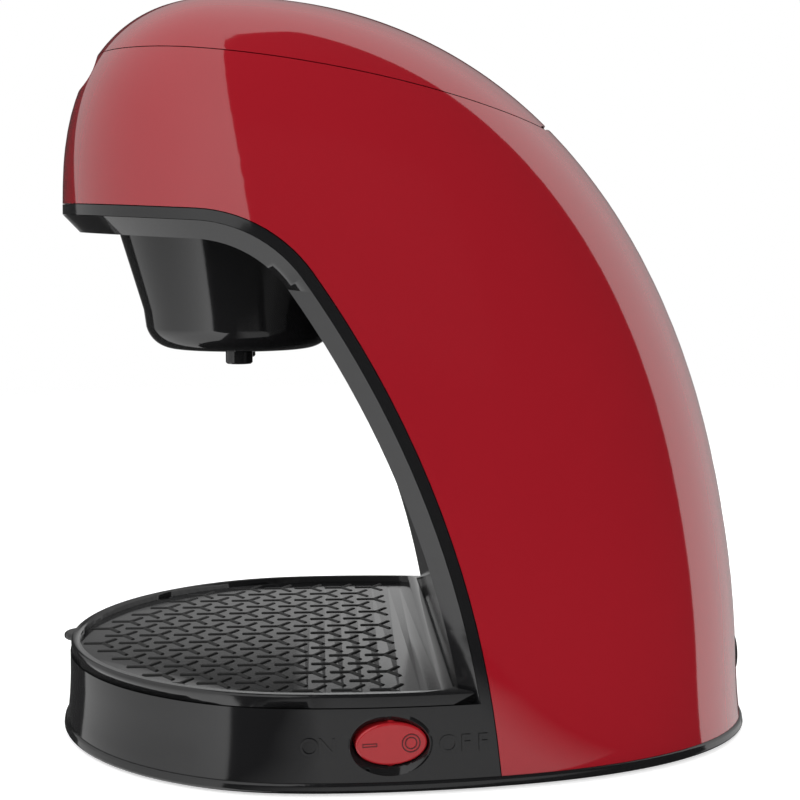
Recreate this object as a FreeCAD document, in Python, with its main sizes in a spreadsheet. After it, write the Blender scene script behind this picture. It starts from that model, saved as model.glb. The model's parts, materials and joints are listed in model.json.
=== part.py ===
import FreeCAD, Part
import functools
import math
import os
import Sketcher
from FreeCAD import Vector

# Two-cup drip coffee maker. Millimetres, +Z up, bench at z = 0, front (cup bay) towards -X.

SIZES = (
    # Outer form
    ("body_height", 250.5, "bench to the top of the lid"),
    ("body_width", 175.0, "widest point of the body above its flare"),
    ("front_reach", 57.0, "highest point of the lid to the nose front"),
    ("rear_reach", 178.5, "highest point of the lid to the back"),
    ("nose_start", 178.0, "height where the nose front starts to round over"),
    ("flare", 2.5, "how far the foot of the body spreads"),
    ("flare_height", 25.0, "height over which the spread dies out"),
    ("nose_roundness", 2.5, "superellipse power of the nose, side view"),
    ("back_roundness", 2.22, "superellipse power of the back, side view"),
    ("side_roundness", 3.5, "superellipse power of the flanks, front view"),
    ("plan_roundness", 2.4, "superellipse power of the back, plan view"),
    ("widest_share", 0.37, "where along its depth the body is widest"),
    ("wall", 2.5, "wall of the moulded shells"),
    ("seam", 0.3, "gap at the seams between mouldings"),
    # Cup bay
    ("bowl_offset", 3.25, "brew basket axis behind the highest point"),
    ("band_height", 179.4, "red and black seam height where its bend starts"),
    ("band_start", -10.4, "start of that bend, from the basket axis"),
    ("band_slope", 2.7, "fall of the seam towards the rear, degrees"),
    ("band_bend", 46.0, "radius of the bend"),
    ("band_turn", 52.0, "turn of the bend, degrees"),
    ("spine_radius", 320.0, "radius of the spine below the bend"),
    ("spine_turn", 29.0, "turn of the spine, degrees"),
    ("strip_width", 3.5, "flush black strip beside the red shell"),
    ("chamfer", 5.75, "chamfer round the cup bay"),
    ("panel_edge", 6.8, "solid edge bar behind the chamfer"),
    # Base
    ("foot_height", 1.0, "rubber feet below the base plate"),
    ("foot_radius", 8.0, "rubber foot"),
    ("plinth_top", 4.2, "top of the base plate rim"),
    ("plinth_proud", 0.8, "how far the rim stands out"),
    ("plate_thickness", 2.2, "base plate"),
    ("deck_top", 27.0, "base deck under the drip tray"),
    ("deck_thickness", 2.5, "base deck"),
    ("post_radius", 4.0, "screw posts"),
    ("post_x", 75.0, "screw posts from the middle, lengthwise"),
    ("post_y", 48.0, "screw posts from the middle, sideways"),
    ("foot_inset", 16.0, "rubber feet from the screw posts, sideways"),
    ("screw_radius", 1.5, "screw shank"),
    ("screw_head", 3.0, "screw head radius"),
    ("screw_head_height", 1.6, "screw head height"),
    ("screw_length", 11.0, "screw shank length"),
    # Drip tray
    ("tray_top", 31.3, "top of the tray rim"),
    ("tray_depth", 2.3, "rim to the tray floor"),
    ("tray_rim", 3.2, "width of the tray rim"),
    ("tray_rear_rim", 4.0, "width of the rim at the rear"),
    ("tray_gap", 1.2, "tray to the spine"),
    ("tray_round", 0.9, "rounding of the tray rim"),
    ("tab_half_width", 7.0, "pull tab"),
    ("tab_length", 2.6, "pull tab in front of the rim"),
    ("tab_thickness", 2.2, "pull tab"),
    # Lid
    ("lid_front_height", 231.2, "lid seam at the nose front"),
    ("lid_mid_height", 225.3, "lid seam half way"),
    ("lid_rear_height", 206.4, "lid seam at the hinge"),
    ("hinge_reach", 108.3, "hinge line behind the highest point"),
    ("hinge_depth", 4.2, "hinge line under the skin of the lid"),
    ("hinge_radius", 3.0, "hinge barrel of the lid"),
    ("pin_radius", 1.25, "hinge pin"),
    ("pin_play", 0.05, "radial play of the hinge pin in the lid"),
    ("lid_opening", 80.0, "turn that the relief behind the lid is cut for, degrees"),
    ("knuckle_middle", 11.0, "hinge knuckles from the middle"),
    ("knuckle_width", 5.0, "hinge knuckle"),
    ("swing_half_width", 30.0, "relief in the shell for the lid's rear edge"),
    ("hinge_play", 0.4, "clearance round the hinge"),
    ("liner_wall", 1.6, "lid liner"),
    ("liner_height", 7.0, "lid liner"),
    ("scoop_radius", 10.0, "finger scoop under the lid lip"),
    ("scoop_depth", 3.6, "finger scoop into the nose"),
    # Brew basket and filter
    ("rest_top", 202.5, "upper chassis plate, where the basket hangs"),
    ("rest_thickness", 2.5, "upper chassis plate"),
    ("basket_top_radius", 45.0, "basket below its flange"),
    ("basket_nose_radius", 41.2, "basket where it leaves the nose"),
    ("basket_nose_height", 171.0, "height of that"),
    ("basket_low_radius", 33.0, "basket at the top of its bottom curve"),
    ("basket_low_height", 144.0, "height of that"),
    ("basket_floor_radius", 22.0, "flat of the basket floor"),
    ("basket_floor", 132.0, "underside of the basket floor"),
    ("basket_bulge", 2.4, "fullness of the bottom curve"),
    ("basket_wall", 2.0, "basket wall"),
    ("basket_flange", 4.2, "basket flange beyond its wall"),
    ("basket_flange_height", 2.0, "basket flange"),
    ("basket_play", 1.3, "basket in the hole of the chassis"),
    ("outlet_spread", 16.0, "coffee outlets from the middle"),
    ("outlet_radius", 4.6, "coffee outlet"),
    ("outlet_bore", 2.6, "bore of a coffee outlet"),
    ("outlet_length", 4.5, "coffee outlet below the floor"),
    ("filter_play", 1.2, "filter inside the basket"),
    ("filter_ring_height", 2.4, "top ring of the filter"),
    ("filter_rib", 1.4, "ribs of the filter"),
    ("handle_width", 14.0, "finger grip of the filter"),
    ("handle_height", 5.0, "finger grip of the filter"),
    ("filter_mesh_wall", 0.5, "filter mesh"),
    ("filter_floor", 140.0, "underside of the filter"),
    ("filter_floor_radius", 26.0, "filter floor"),
    # Water way
    ("tank_floor", 46.0, "underside of the tank"),
    ("tank_wall", 2.0, "tank wall"),
    ("tank_gap", 1.0, "tank to the shell"),
    ("tank_front", 64.0, "front of the tank above the spine, from the basket axis"),
    ("tank_stand_off", 6.0, "tank behind the red and black seam"),
    ("fill_front", 68.0, "front of the filling opening, from the basket axis"),
    ("fill_rear", 86.0, "rear of the filling opening, from the basket axis"),
    ("fill_half_width", 42.0, "filling opening"),
    ("chassis_rear", 90.0, "rear of the upper chassis, from the basket axis"),
    ("tube_radius", 4.5, "hoses, outside"),
    ("tube_bore", 3.1, "hoses, inside"),
    ("spigot_radius", 3.0, "spigots that the hoses slide over"),
    ("spigot_bore", 2.0, "bore of the spigots"),
    ("spigot_length", 8.0, "spigots of the heater"),
    ("press_play", 0.05, "radial play of pieces pressed together"),
    ("clamp_wall", 1.0, "hose clamps"),
    ("riser_bend", 60.0, "gentle bends of the riser"),
    ("riser_from_axis", 57.0, "riser behind the basket axis"),
    ("riser_top", 224.0, "mouth of the riser"),
    ("water_axis", 13.0, "height of the heater"),
    ("heater_radius", 8.0, "heater casting"),
    ("heater_spread", 40.0, "between the legs of the heater"),
    ("heater_rear", 62.0, "rear end of the heater, from the basket axis"),
    ("element_radius", 3.2, "sheathed heating element"),
    ("bracket_front", 16.0, "front screw of the heater bracket, from the basket axis"),
    ("bracket_rear", 34.0, "rear screw of the heater bracket, from the basket axis"),
    ("bracket_margin", 5.0, "bracket beyond its screws"),
    ("bracket_thickness", 1.4, "heater bracket"),
    ("thermostat_from_axis", 44.0, "thermostat behind the basket axis"),
    ("thermostat_thickness", 5.5, "thermostat"),
    ("fuse_radius", 2.0, "thermal fuse"),
    ("fuse_length", 12.0, "thermal fuse"),
    ("lead_radius", 0.5, "leads of the thermal fuse"),
    ("lead_length", 8.0, "leads of the thermal fuse"),
    ("valve_from_axis", 105.0, "tank outlet behind the basket axis"),
    ("valve_radius", 7.0, "check valve body"),
    ("valve_length", 16.0, "check valve body"),
    ("ball_radius", 3.0, "check valve ball"),
    ("ball_travel", 2.2, "check valve ball"),
    ("head_bottom", 226.0, "underside of the shower head"),
    ("head_radius", 24.0, "shower head"),
    ("head_height", 4.0, "shower head"),
    # Switch and gland
    ("switch_from_axis", 48.0, "switch behind the basket axis"),
    ("switch_height", 15.7, "switch above the bench"),
    ("bezel_length", 26.0, "switch bezel"),
    ("bezel_height", 19.4, "switch bezel"),
    ("bezel_lip", 0.5, "flush lip round the dish of the bezel"),
    ("dish_depth", 1.5, "dish of the bezel"),
    ("rocker_length", 22.5, "rocker"),
    ("rocker_height", 13.4, "rocker"),
    ("rocker_depth", 5.0, "rocker"),
    ("rocker_inset", 2.8, "rocker pivot behind the bezel face"),
    ("rocker_play", 0.55, "rocker in its bezel"),
    ("rocker_tilt", 8.0, "rocker either way, degrees"),
    ("rocker_pin", 1.2, "rocker pivot pins"),
    ("rocker_round", 0.8, "rounding of the rocker"),
    ("switch_depth", 17.0, "switch body behind the bezel face"),
    ("switch_wall", 1.2, "wall of the switch body"),
    ("blade_thickness", 0.8, "push-on blades"),
    ("blade_length", 8.0, "push-on blades"),
    ("blade_width", 5.0, "push-on blades"),
    ("blade_spread", 6.0, "push-on blades from the middle"),
    ("gland_height", 20.0, "cord gland above the bench"),
    ("gland_bore", 3.6, "cord gland"),
    ("gland_neck", 6.0, "cord gland in the wall"),
    ("gland_flange", 8.0, "cord gland flanges"),
    ("gland_lip", 1.4, "thickness of the gland flanges"),
    ("gland_slack", 1.2, "gland neck beyond the wall, for its curve"),
    ("wire_radius", 1.2, "insulated wires"),
    ("wire_start", 8.0, "end of the wires behind the gland"),
    ("wire_bend", 14.0, "bends of the wires"),
    ("wire_lead", 25.0, "straight run of the wires from the gland"),
    ("wire_run", 60.0, "where the wires turn along the flank, behind the switch"),
    ("wire_turn", 16.0, "straight run of the wires behind the blades"),
)

doc = FreeCAD.newDocument("DripCoffeeMaker")
sheet = doc.addObject("Spreadsheet::Sheet", "sizes")
for row, (alias, value, meaning) in enumerate(SIZES, 1):
    sheet.set("A%d" % row, alias)
    sheet.set("B%d" % row, str(value))
    sheet.set("C%d" % row, meaning)
    sheet.setAlias("B%d" % row, alias)
doc.recompute()


def size(alias):
    return float(sheet.get(alias))


# Places that several pieces share
crown_x = (size("front_reach") - size("rear_reach")) / 2
bowl_x = crown_x + size("bowl_offset")
riser_x = bowl_x + size("riser_from_axis")
valve_x = bowl_x + size("valve_from_axis")
switch_x = bowl_x + size("switch_from_axis")
heater_x = bowl_x + size("heater_rear")
span = size("body_width")
reach = size("front_reach") + size("rear_reach")
parts = []


# Outer form: level rings of the body, lofted from the bench to the crown

def body_limits(z, inset):
    """Front, rear and half width of the body at one height, for a form set in by a wall."""
    top = size("body_height") - inset
    spread = size("flare") * math.exp(-max(z, 0.0) / size("flare_height"))
    rise = max(0.0, (z - size("nose_start")) / (top - size("nose_start")))
    level = max(0.0, z / top)
    nose, back, side = size("nose_roundness"), size("back_roundness"), size("side_roundness")
    front_x = crown_x - (size("front_reach") - inset) * (1 - rise ** nose) ** (1 / nose) - spread
    rear_x = crown_x + (size("rear_reach") - inset) * (1 - level ** back) ** (1 / back) + spread
    half = (size("body_width") / 2 - inset) * (1 - level ** side) ** (1 / side) + spread
    return front_x, rear_x, half


def body_ring(z, inset, points=24):
    """Closed egg-shaped outline of the body at one height."""
    front_x, rear_x, half = body_limits(z, inset)
    middle = front_x + size("widest_share") * (rear_x - front_x)
    outline = []
    for index in range(points):
        turn = 2 * math.pi * index / points
        along, sideways = math.cos(turn), math.sin(turn)
        power = 2 / size("plan_roundness") if along > 0 else 1.0
        length = rear_x - middle if along > 0 else middle - front_x
        outline.append(Vector(middle + math.copysign(abs(along) ** power, along) * length,
                              math.copysign(abs(sideways) ** power, sideways) * half, z))
    curve = Part.BSplineCurve()
    curve.interpolate(outline, PeriodicFlag=True)
    return Part.Wire(curve.toShape())


@functools.lru_cache(maxsize=None)
def body_form(inset, low=0.0, levels=10, crown_share=0.985):
    """Solid body form, closer rings near the crown."""
    rise = size("body_height") - inset - low
    quarter = crown_share * math.pi / 2
    heights = [low + rise * math.sin(quarter * level / levels) for level in range(levels + 1)]
    return Part.makeLoft([body_ring(height, inset) for height in heights], True, False)


def inner_form():
    """The room inside the moulded skin, open below."""
    return body_form(size("wall"), -size("plinth_top"))


def flank_y(x, z):
    """Distance of the near flank from the middle plane."""
    front_x, rear_x, half = body_limits(z, 0.0)
    middle = front_x + size("widest_share") * (rear_x - front_x)
    if x < middle:
        return half * math.sqrt(1 - ((middle - x) / (middle - front_x)) ** 2)
    power = size("plan_roundness")
    return half * (1 - ((x - middle) / (rear_x - middle)) ** power) ** (1 / power)


# Regions in side view, carried right across the body

def across(edges):
    face = Part.Face(Part.Wire(edges))
    face.translate(Vector(0, -span, 0))
    return face.extrude(Vector(0, 2 * span, 0))


def polyline(corners):
    return [Part.LineSegment(start, end).toShape() for start, end in zip(corners, corners[1:])]


def ahead(heading):
    return Vector(math.cos(heading), 0, math.sin(heading))


def aside(heading):
    return Vector(-math.sin(heading), 0, math.cos(heading))


def bay_edges(offset):
    """The red and black seam, moved away from the cup bay by an offset, front to bench."""
    heading = -math.radians(size("band_slope"))
    point = Vector(bowl_x + size("band_start"), 0, size("band_height")) + aside(heading) * offset
    edges = [Part.LineSegment(point - ahead(heading) * reach, point).toShape()]
    bends = ((size("band_bend"), size("band_turn")), (size("spine_radius"), size("spine_turn")))
    for radius, turn in bends:
        centre = point - aside(heading) * (radius + offset)
        half_way, heading = heading - math.radians(turn) / 2, heading - math.radians(turn)
        middle, end = [centre + aside(stop) * (radius + offset) for stop in (half_way, heading)]
        edges.append(Part.Arc(point, middle, end).toShape())
        point = end
    foot = point + ahead(heading) * size("deck_top") * 2
    edges.append(Part.LineSegment(point, foot).toShape())
    return edges


def behind_bay(offset):
    """Everything above and behind the seam moved by an offset."""
    edges = bay_edges(offset)
    front, foot = edges[0].Vertexes[0].Point, edges[-1].Vertexes[-1].Point
    top = size("body_height") * 2
    return across(edges + polyline([foot, Vector(reach, 0, foot.z), Vector(reach, 0, top),
                                    Vector(front.x, 0, top), front]))


def hinge_axis():
    """Hinge line under the back of the lid, and the skin's normal there."""
    power = size("back_roundness")
    share = size("hinge_reach") / size("rear_reach")
    z = size("body_height") * (1 - share ** power) ** (1 / power)
    slope = size("body_height") / size("rear_reach") * (share * size("body_height") / z) ** (power - 1)
    normal = Vector(slope, 0, 1).normalize()
    foot = Vector(crown_x + size("hinge_reach"), 0, z)
    return foot - normal * size("hinge_depth"), normal


def lid_region(gap):
    """Above the lid seam and in front of the hinge."""
    axis, normal = hinge_axis()
    front_x = crown_x - size("front_reach")
    ends = [Vector(front_x, 0, size("lid_front_height") + gap),
            Vector((front_x + axis.x) / 2, 0, size("lid_mid_height") + gap),
            Vector(axis.x, 0, size("lid_rear_height") + gap)]
    outside = axis + normal * reach
    seam_arc = Part.Arc(*ends).toShape()
    lead = ends[0] - Vector(reach, 0, 0)
    corners = [ends[2], axis, outside, Vector(lead.x, 0, outside.z), lead, ends[0]]
    return across([seam_arc] + polyline(corners))


def swing_room():
    """Spindle about the hinge that the rear edge of the lid turns in."""
    axis, _ = hinge_axis()
    radius = size("hinge_depth") / math.cos(math.radians(size("lid_opening") / 2)) + size("hinge_play")
    rings = []
    for along, share in ((-1, 0.1), (-0.66, 0.66), (-0.33, 1), (0.33, 1), (0.66, 0.66), (1, 0.1)):
        centre = axis + Vector(0, along * size("swing_half_width"), 0)
        rings.append(Part.Wire(Part.Circle(centre, Vector(0, 1, 0), radius * share).toShape()))
    return Part.makeLoft(rings, True, True)


def slab(low, high):
    return Part.makeBox(4 * reach, 4 * reach, high - low, Vector(-2 * reach, -2 * reach, low))


def post(x, y, low, high, radius):
    return Part.makeCylinder(radius, high - low, Vector(x, y, low))


def cross_rod(x, z, radius, low, high):
    return Part.makeCylinder(radius, high - low, Vector(x, low, z), Vector(0, 1, 0))


def long_rod(y, z, radius, low, high):
    return Part.makeCylinder(radius, high - low, Vector(low, y, z), Vector(1, 0, 0))


def oval_wire(x, y, z, length, height):
    wire = Part.Wire(Part.Ellipse(Vector(0, 0, 0), length / 2, height / 2).toShape())
    wire.rotate(Vector(0, 0, 0), Vector(1, 0, 0), 90)
    wire.translate(Vector(x, y, z))
    return wire


def oval(x, z, length, height, low, high):
    return Part.Face(oval_wire(x, low, z, length, height)).extrude(Vector(0, high - low, 0))


def tube(corners, bends, radius):
    """Round rod along straight runs with a tangent arc at each inner corner."""
    edges, start = [], corners[0]
    for before, corner, after, bend in zip(corners, corners[1:], corners[2:], bends):
        back, onward = (before - corner).normalize(), (after - corner).normalize()
        half = back.getAngle(onward) / 2
        trim = bend / math.tan(half)
        centre = corner + (back + onward).normalize() * (bend / math.sin(half))
        middle = centre + (corner - centre).normalize() * bend
        edges.append(Part.LineSegment(start, corner + back * trim).toShape())
        edges.append(Part.Arc(corner + back * trim, middle, corner + onward * trim).toShape())
        start = corner + onward * trim
    edges.append(Part.LineSegment(start, corners[-1]).toShape())
    ring = Part.Wire(Part.Circle(corners[0], corners[1] - corners[0], radius).toShape())
    return Part.Wire(edges).makePipeShell([ring], True, True)


def hose(corners, bends):
    return tube(corners, bends, size("tube_radius")).cut(tube(corners, bends, size("tube_bore")))


# Document objects

def add_shape(label, shape):
    """A piece whose form neither sketches nor primitives give."""
    piece = doc.addObject("Part::Feature", label)
    piece.Shape = shape.Solids[0] if len(shape.Solids) == 1 else Part.makeCompound(shape.Solids)
    piece.Placement = FreeCAD.Placement()
    parts.append(piece)
    return piece


def outline_sketch(body, label, corners):
    """Closed outline in the body's XZ plane whose corners follow expressions."""
    sketch = body.newObject("Sketcher::SketchObject", label)
    plane = [feature for feature in body.Origin.OriginFeatures if feature.Role == "XZ_Plane"][0]
    sketch.AttachmentSupport = [(plane, "")]
    sketch.MapMode = "FlatFace"
    count = len(corners)
    turns = [2 * math.pi * index / count for index in range(count)]
    guess = [Vector(math.cos(turn), math.sin(turn), 0) for turn in turns]
    for index in range(count):
        sketch.addGeometry(Part.LineSegment(guess[index], guess[(index + 1) % count]), False)
    for index in range(count):
        sketch.addConstraint(Sketcher.Constraint("Coincident", index, 2, (index + 1) % count, 1))
    for index, corner in enumerate(corners):
        values = (guess[index].x, guess[index].y)
        for kind, expression, value in zip(("DistanceX", "DistanceY"), corner, values):
            number = sketch.addConstraint(Sketcher.Constraint(kind, -1, 1, index, 1, value))
            sketch.setExpression("Constraints[%d]" % number, expression)
    return sketch


def turned(label, corners):
    """A body turned about its own Z axis from (radius, height) expressions."""
    body = doc.addObject("PartDesign::Body", label)
    sketch = outline_sketch(body, label + "_profile", corners)
    turn = body.newObject("PartDesign::Revolution", label + "_turn")
    turn.Profile = sketch
    turn.ReferenceAxis = (sketch, ["V_Axis"])
    turn.Angle = 360
    body.Tip = turn
    doc.recompute()
    return body


def place(piece, x="0", y="0", z="0", rotation=None):
    if rotation is not None:
        piece.Placement = FreeCAD.Placement(Vector(0, 0, 0), rotation)
    for axis, expression in zip("xyz", (x, y, z)):
        piece.setExpression(".Placement.Base." + axis, expression)
    parts.append(piece)


CROWN_X = "(sizes.front_reach - sizes.rear_reach) / 2"
BOWL_X = CROWN_X + " + sizes.bowl_offset"


# Housing

def shell_skin():
    return body_form(0.0).cut(inner_form())


def make_base_plate():
    low, top = size("foot_height"), size("plinth_top")
    plate = body_form(-size("plinth_proud")).common(slab(low, top))
    outer = [edge for edge in plate.Edges if abs(edge.BoundBox.ZMax - edge.BoundBox.ZMin) < 0.01]
    plate = plate.makeFillet((top - low) * 0.3, outer)
    plate = plate.cut(body_form(size("wall")).common(slab(low + size("plate_thickness"), top + 1)))
    for x, y in screw_places():
        plate = plate.cut(post(x, y, 0, top, size("screw_radius") + size("seam") / 2))
        head_room = size("screw_head") + size("seam")
        plate = plate.cut(post(x, y, 0, low + size("screw_head_height"), head_room))
    add_shape("base_plate", plate)


def screw_places():
    return [(x * size("post_x"), y * size("post_y")) for x in (-1, 1) for y in (-1, 1)]


def switch_hole():
    """Oval hole in the flank of the base, filled by the bezel of the switch."""
    face = flank_y(switch_x, size("switch_height"))
    return oval(switch_x, size("switch_height"), size("bezel_length"), size("bezel_height"),
                -face - size("wall"), -face + 2 * size("wall"))


def make_base_housing(skin):
    low, top = size("plinth_top"), size("deck_top")
    under_deck = top - size("deck_thickness")
    band = skin.common(behind_bay(-size("strip_width"))).common(slab(low, size("body_height")))
    deck = body_form(size("wall") - size("seam")).common(slab(under_deck, top))
    deck = deck.cut(behind_bay(size("wall") - size("strip_width") - size("chamfer")))
    housing = skin.common(slab(low, top)).fuse([band, deck]).cut(behind_bay(-size("seam") / 2))
    plate_top = size("foot_height") + size("plate_thickness")
    front_posts = [spot for spot in screw_places() if spot[0] < 0]
    bosses = [post(x, y, plate_top, under_deck, size("post_radius")) for x, y in front_posts]
    bosses += [post(x, y, bracket_top(), under_deck, size("post_radius")) for x, y in bracket_places()]
    housing = housing.fuse(bosses)
    for x, y in front_posts:
        bore = post(x, y, plate_top, plate_top + size("screw_length"), size("screw_radius"))
        housing = housing.cut(bore)
    for x, y in bracket_places():
        housing = housing.cut(post(x, y, bracket_top(), under_deck + 1, size("screw_radius")))
    add_shape("base_housing", housing.cut(switch_hole()))


def spine_form():
    """Solid form of the spine, its long edges chamfered."""
    inner = size("strip_width") + size("chamfer")
    core = body_form(0.0).common(behind_bay(-inner))
    bay = Part.makeCompound([edge.extrude(Vector(0, 2 * span, 0)) for edge in bay_edges(-inner)])
    bay.translate(Vector(0, -span, 0))
    rim = [edge for edge in core.Edges if lies_on(edge, bay) and spans_depth(edge)]
    return core.makeChamfer(size("chamfer"), rim)


def make_spine_panel(spine):
    inner = size("strip_width") + size("chamfer")
    hollow = body_form(size("panel_edge")).common(behind_bay(size("wall") - inner))
    panel = spine.cut(hollow).cut(behind_bay(-size("strip_width") - size("seam") / 2))
    panel = panel.common(slab(size("deck_top"), size("body_height")))
    add_shape("spine_panel", panel.cut(basket_room(size("basket_play"))))


def basket_room(play):
    """Cone round the brew basket that lets it hang and lift out."""
    low, nose = size("basket_low_height"), size("basket_nose_height")
    low_radius, nose_radius = size("basket_low_radius") + play, size("basket_nose_radius") + play
    grow = (nose_radius - low_radius) / (nose - low)
    floor, top = size("basket_floor"), size("rest_top")
    return Part.makeCone(low_radius - grow * (low - floor), nose_radius + grow * (top - nose),
                         top - floor, Vector(bowl_x, 0, floor))


def lies_on(edge, face):
    middle = edge.valueAt((edge.FirstParameter + edge.LastParameter) / 2)
    return Part.Vertex(middle).distToShape(face)[0] < 0.001


def spans_depth(edge):
    """True for the edges that follow the body, not for those straight across it."""
    box = edge.BoundBox
    return box.XLength > 1 or box.ZLength > 1


def finger_scoop(grow):
    """Rod across the nose that presses a hollow for a fingertip into it, under the lid."""
    radius = size("scoop_radius")
    height = size("lid_front_height") - radius / 4
    front_x = body_limits(height, 0.0)[0]
    return cross_rod(front_x - radius + size("scoop_depth"), height, radius + grow, -span, span)


def make_outer_shell(skin):
    scoop_back = body_form(size("wall") * 0.8).common(finger_scoop(size("wall") * 0.8))
    shell = skin.fuse(scoop_back).cut(finger_scoop(0.0))
    shell = shell.common(behind_bay(size("seam") / 2))
    shell = shell.common(slab(size("plinth_top"), size("body_height")))
    shell = shell.cut(lid_region(-size("seam") / 2)).cut(swing_room())
    gland = long_rod(0, size("gland_height"), size("gland_neck") + size("press_play"), 0, reach)
    add_shape("outer_shell", shell.cut(gland))


def make_top_deck():
    """Upper chassis: basket seat, filling opening and the two hinge knuckles."""
    low, top = size("rest_top") - size("rest_thickness"), size("rest_top")
    axis, _ = hinge_axis()
    rear_x = bowl_x + size("chassis_rear")
    foot_x = rear_x - size("knuckle_width")
    deck = body_form(size("wall") + size("seam")).common(slab(low, top))
    deck = deck.cut(Part.makeBox(reach, 2 * span, reach, Vector(rear_x, -span, 0)))
    deck = deck.cut(post(bowl_x, 0, low, top, size("basket_top_radius") + size("basket_play")))
    deck = deck.cut(post(riser_x, 0, low, top, size("tube_radius") + size("seam") * 2))
    fill = Part.makeBox(size("fill_rear") - size("fill_front"), 2 * size("fill_half_width"), top - low,
                        Vector(bowl_x + size("fill_front"), -size("fill_half_width"), low))
    upright = [edge for edge in fill.Edges if edge.BoundBox.ZLength > 1]
    deck = deck.cut(fill.makeFillet((size("fill_rear") - size("fill_front")) * 0.4, upright))
    radius = size("hinge_radius")
    for side in (-1, 1):
        near = side * size("knuckle_middle") - size("knuckle_width") / 2
        knuckle = cross_rod(axis.x, axis.z, radius, near, near + size("knuckle_width"))
        arm = across(polyline([Vector(rear_x, 0, low), Vector(axis.x, 0, axis.z - radius),
                               Vector(axis.x - radius, 0, axis.z), Vector(foot_x, 0, top),
                               Vector(foot_x, 0, low), Vector(rear_x, 0, low)]))
        arm = arm.common(Part.makeBox(2 * reach, size("knuckle_width"), 2 * reach,
                                      Vector(-reach, near, 0)))
        deck = deck.fuse(knuckle.fuse(arm).common(body_form(size("seam"))))
    add_shape("top_deck", deck.cut(cross_rod(axis.x, axis.z, size("pin_radius"), -span, span)))


# Lid

def make_lid(skin):
    axis, normal = hinge_axis()
    lid = skin.common(lid_region(size("seam") / 2))
    half = size("knuckle_middle") - size("knuckle_width") / 2 - size("hinge_play")
    barrel = cross_rod(axis.x, axis.z, size("hinge_radius"), -half, half)
    root = Part.makeBox(2 * size("hinge_radius"), 2 * half, size("hinge_depth"),
                        Vector(axis.x - 2 * size("hinge_radius"), -half, axis.z))
    root.rotate(axis, Vector(0, 1, 0), math.degrees(math.atan2(normal.x, normal.z)))
    gap = size("knuckle_width") + 2 * size("hinge_play")
    room_radius = size("hinge_radius") + size("hinge_play")
    knuckle_room = cross_rod(axis.x, axis.z, room_radius, half, half + gap)
    lid = lid.cut([knuckle_room, knuckle_room.mirror(axis, Vector(0, 1, 0))])
    lid = lid.fuse(barrel.fuse(root).common(body_form(size("seam") / 2)))
    bore = cross_rod(axis.x, axis.z, size("pin_radius") + size("pin_play"), -span, span)
    add_shape("lid", lid.cut(bore))


def make_lid_liner():
    ring = inner_form().cut(body_form(size("wall") + size("liner_wall")))
    ring = ring.common(lid_region(size("seam") * 2)).cut(lid_region(size("liner_height")))
    axis, _ = hinge_axis()
    rear_x = axis.x - 6 * size("hinge_radius")
    rear = Part.makeBox(reach, 2 * span, 2 * reach, Vector(rear_x, -span, 0))
    add_shape("lid_liner", ring.cut(rear))


def make_shower_head():
    """Spreader under the lid: a drilled disc, a feed arm over the riser and three stems."""
    low = size("head_bottom")
    top = low + size("head_height")
    arm_half = size("tube_radius") + size("head_height")
    head = post(bowl_x, 0, low, top, size("head_radius"))
    head = head.fuse(Part.makeBox(riser_x + arm_half - bowl_x, 2 * arm_half, size("head_height"),
                                  Vector(bowl_x, -arm_half, low)))
    ring = size("head_radius") * 0.66
    stems = [post(bowl_x - ring, 0, top - 1, size("body_height"), size("head_height"))]
    stems += [post(riser_x - arm_half, side * arm_half * 0.4, top - 1, size("body_height"),
                   size("head_height") * 0.75) for side in (-1, 1)]
    head = head.fuse(stems).common(inner_form())
    mouth = size("tube_radius") + size("seam")
    head = head.cut(post(riser_x, 0, low, low + size("head_height") / 2, mouth))
    holes = 12
    for index in range(holes):
        turn = 2 * math.pi * (index + 0.5) / holes
        head = head.cut(post(bowl_x + ring * math.cos(turn) * 0.6, ring * math.sin(turn) * 0.6,
                             low - 1, top + 1, size("seam") * 4))
    add_shape("shower_head", head)


def make_hinge_pin():
    axis, _ = hinge_axis()
    pin = doc.addObject("Part::Cylinder", "lid_hinge_pin")
    pin.setExpression("Radius", "sizes.pin_radius")
    pin.setExpression("Height", "2 * sizes.knuckle_middle + sizes.knuckle_width")
    turn = FreeCAD.Rotation(Vector(1, 0, 0), -90)
    pin.Placement = FreeCAD.Placement(Vector(axis.x, 0, axis.z), turn)
    pin.setExpression(".Placement.Base.y", "-sizes.knuckle_middle - sizes.knuckle_width / 2")
    parts.append(pin)


# Brew basket and permanent filter

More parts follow.
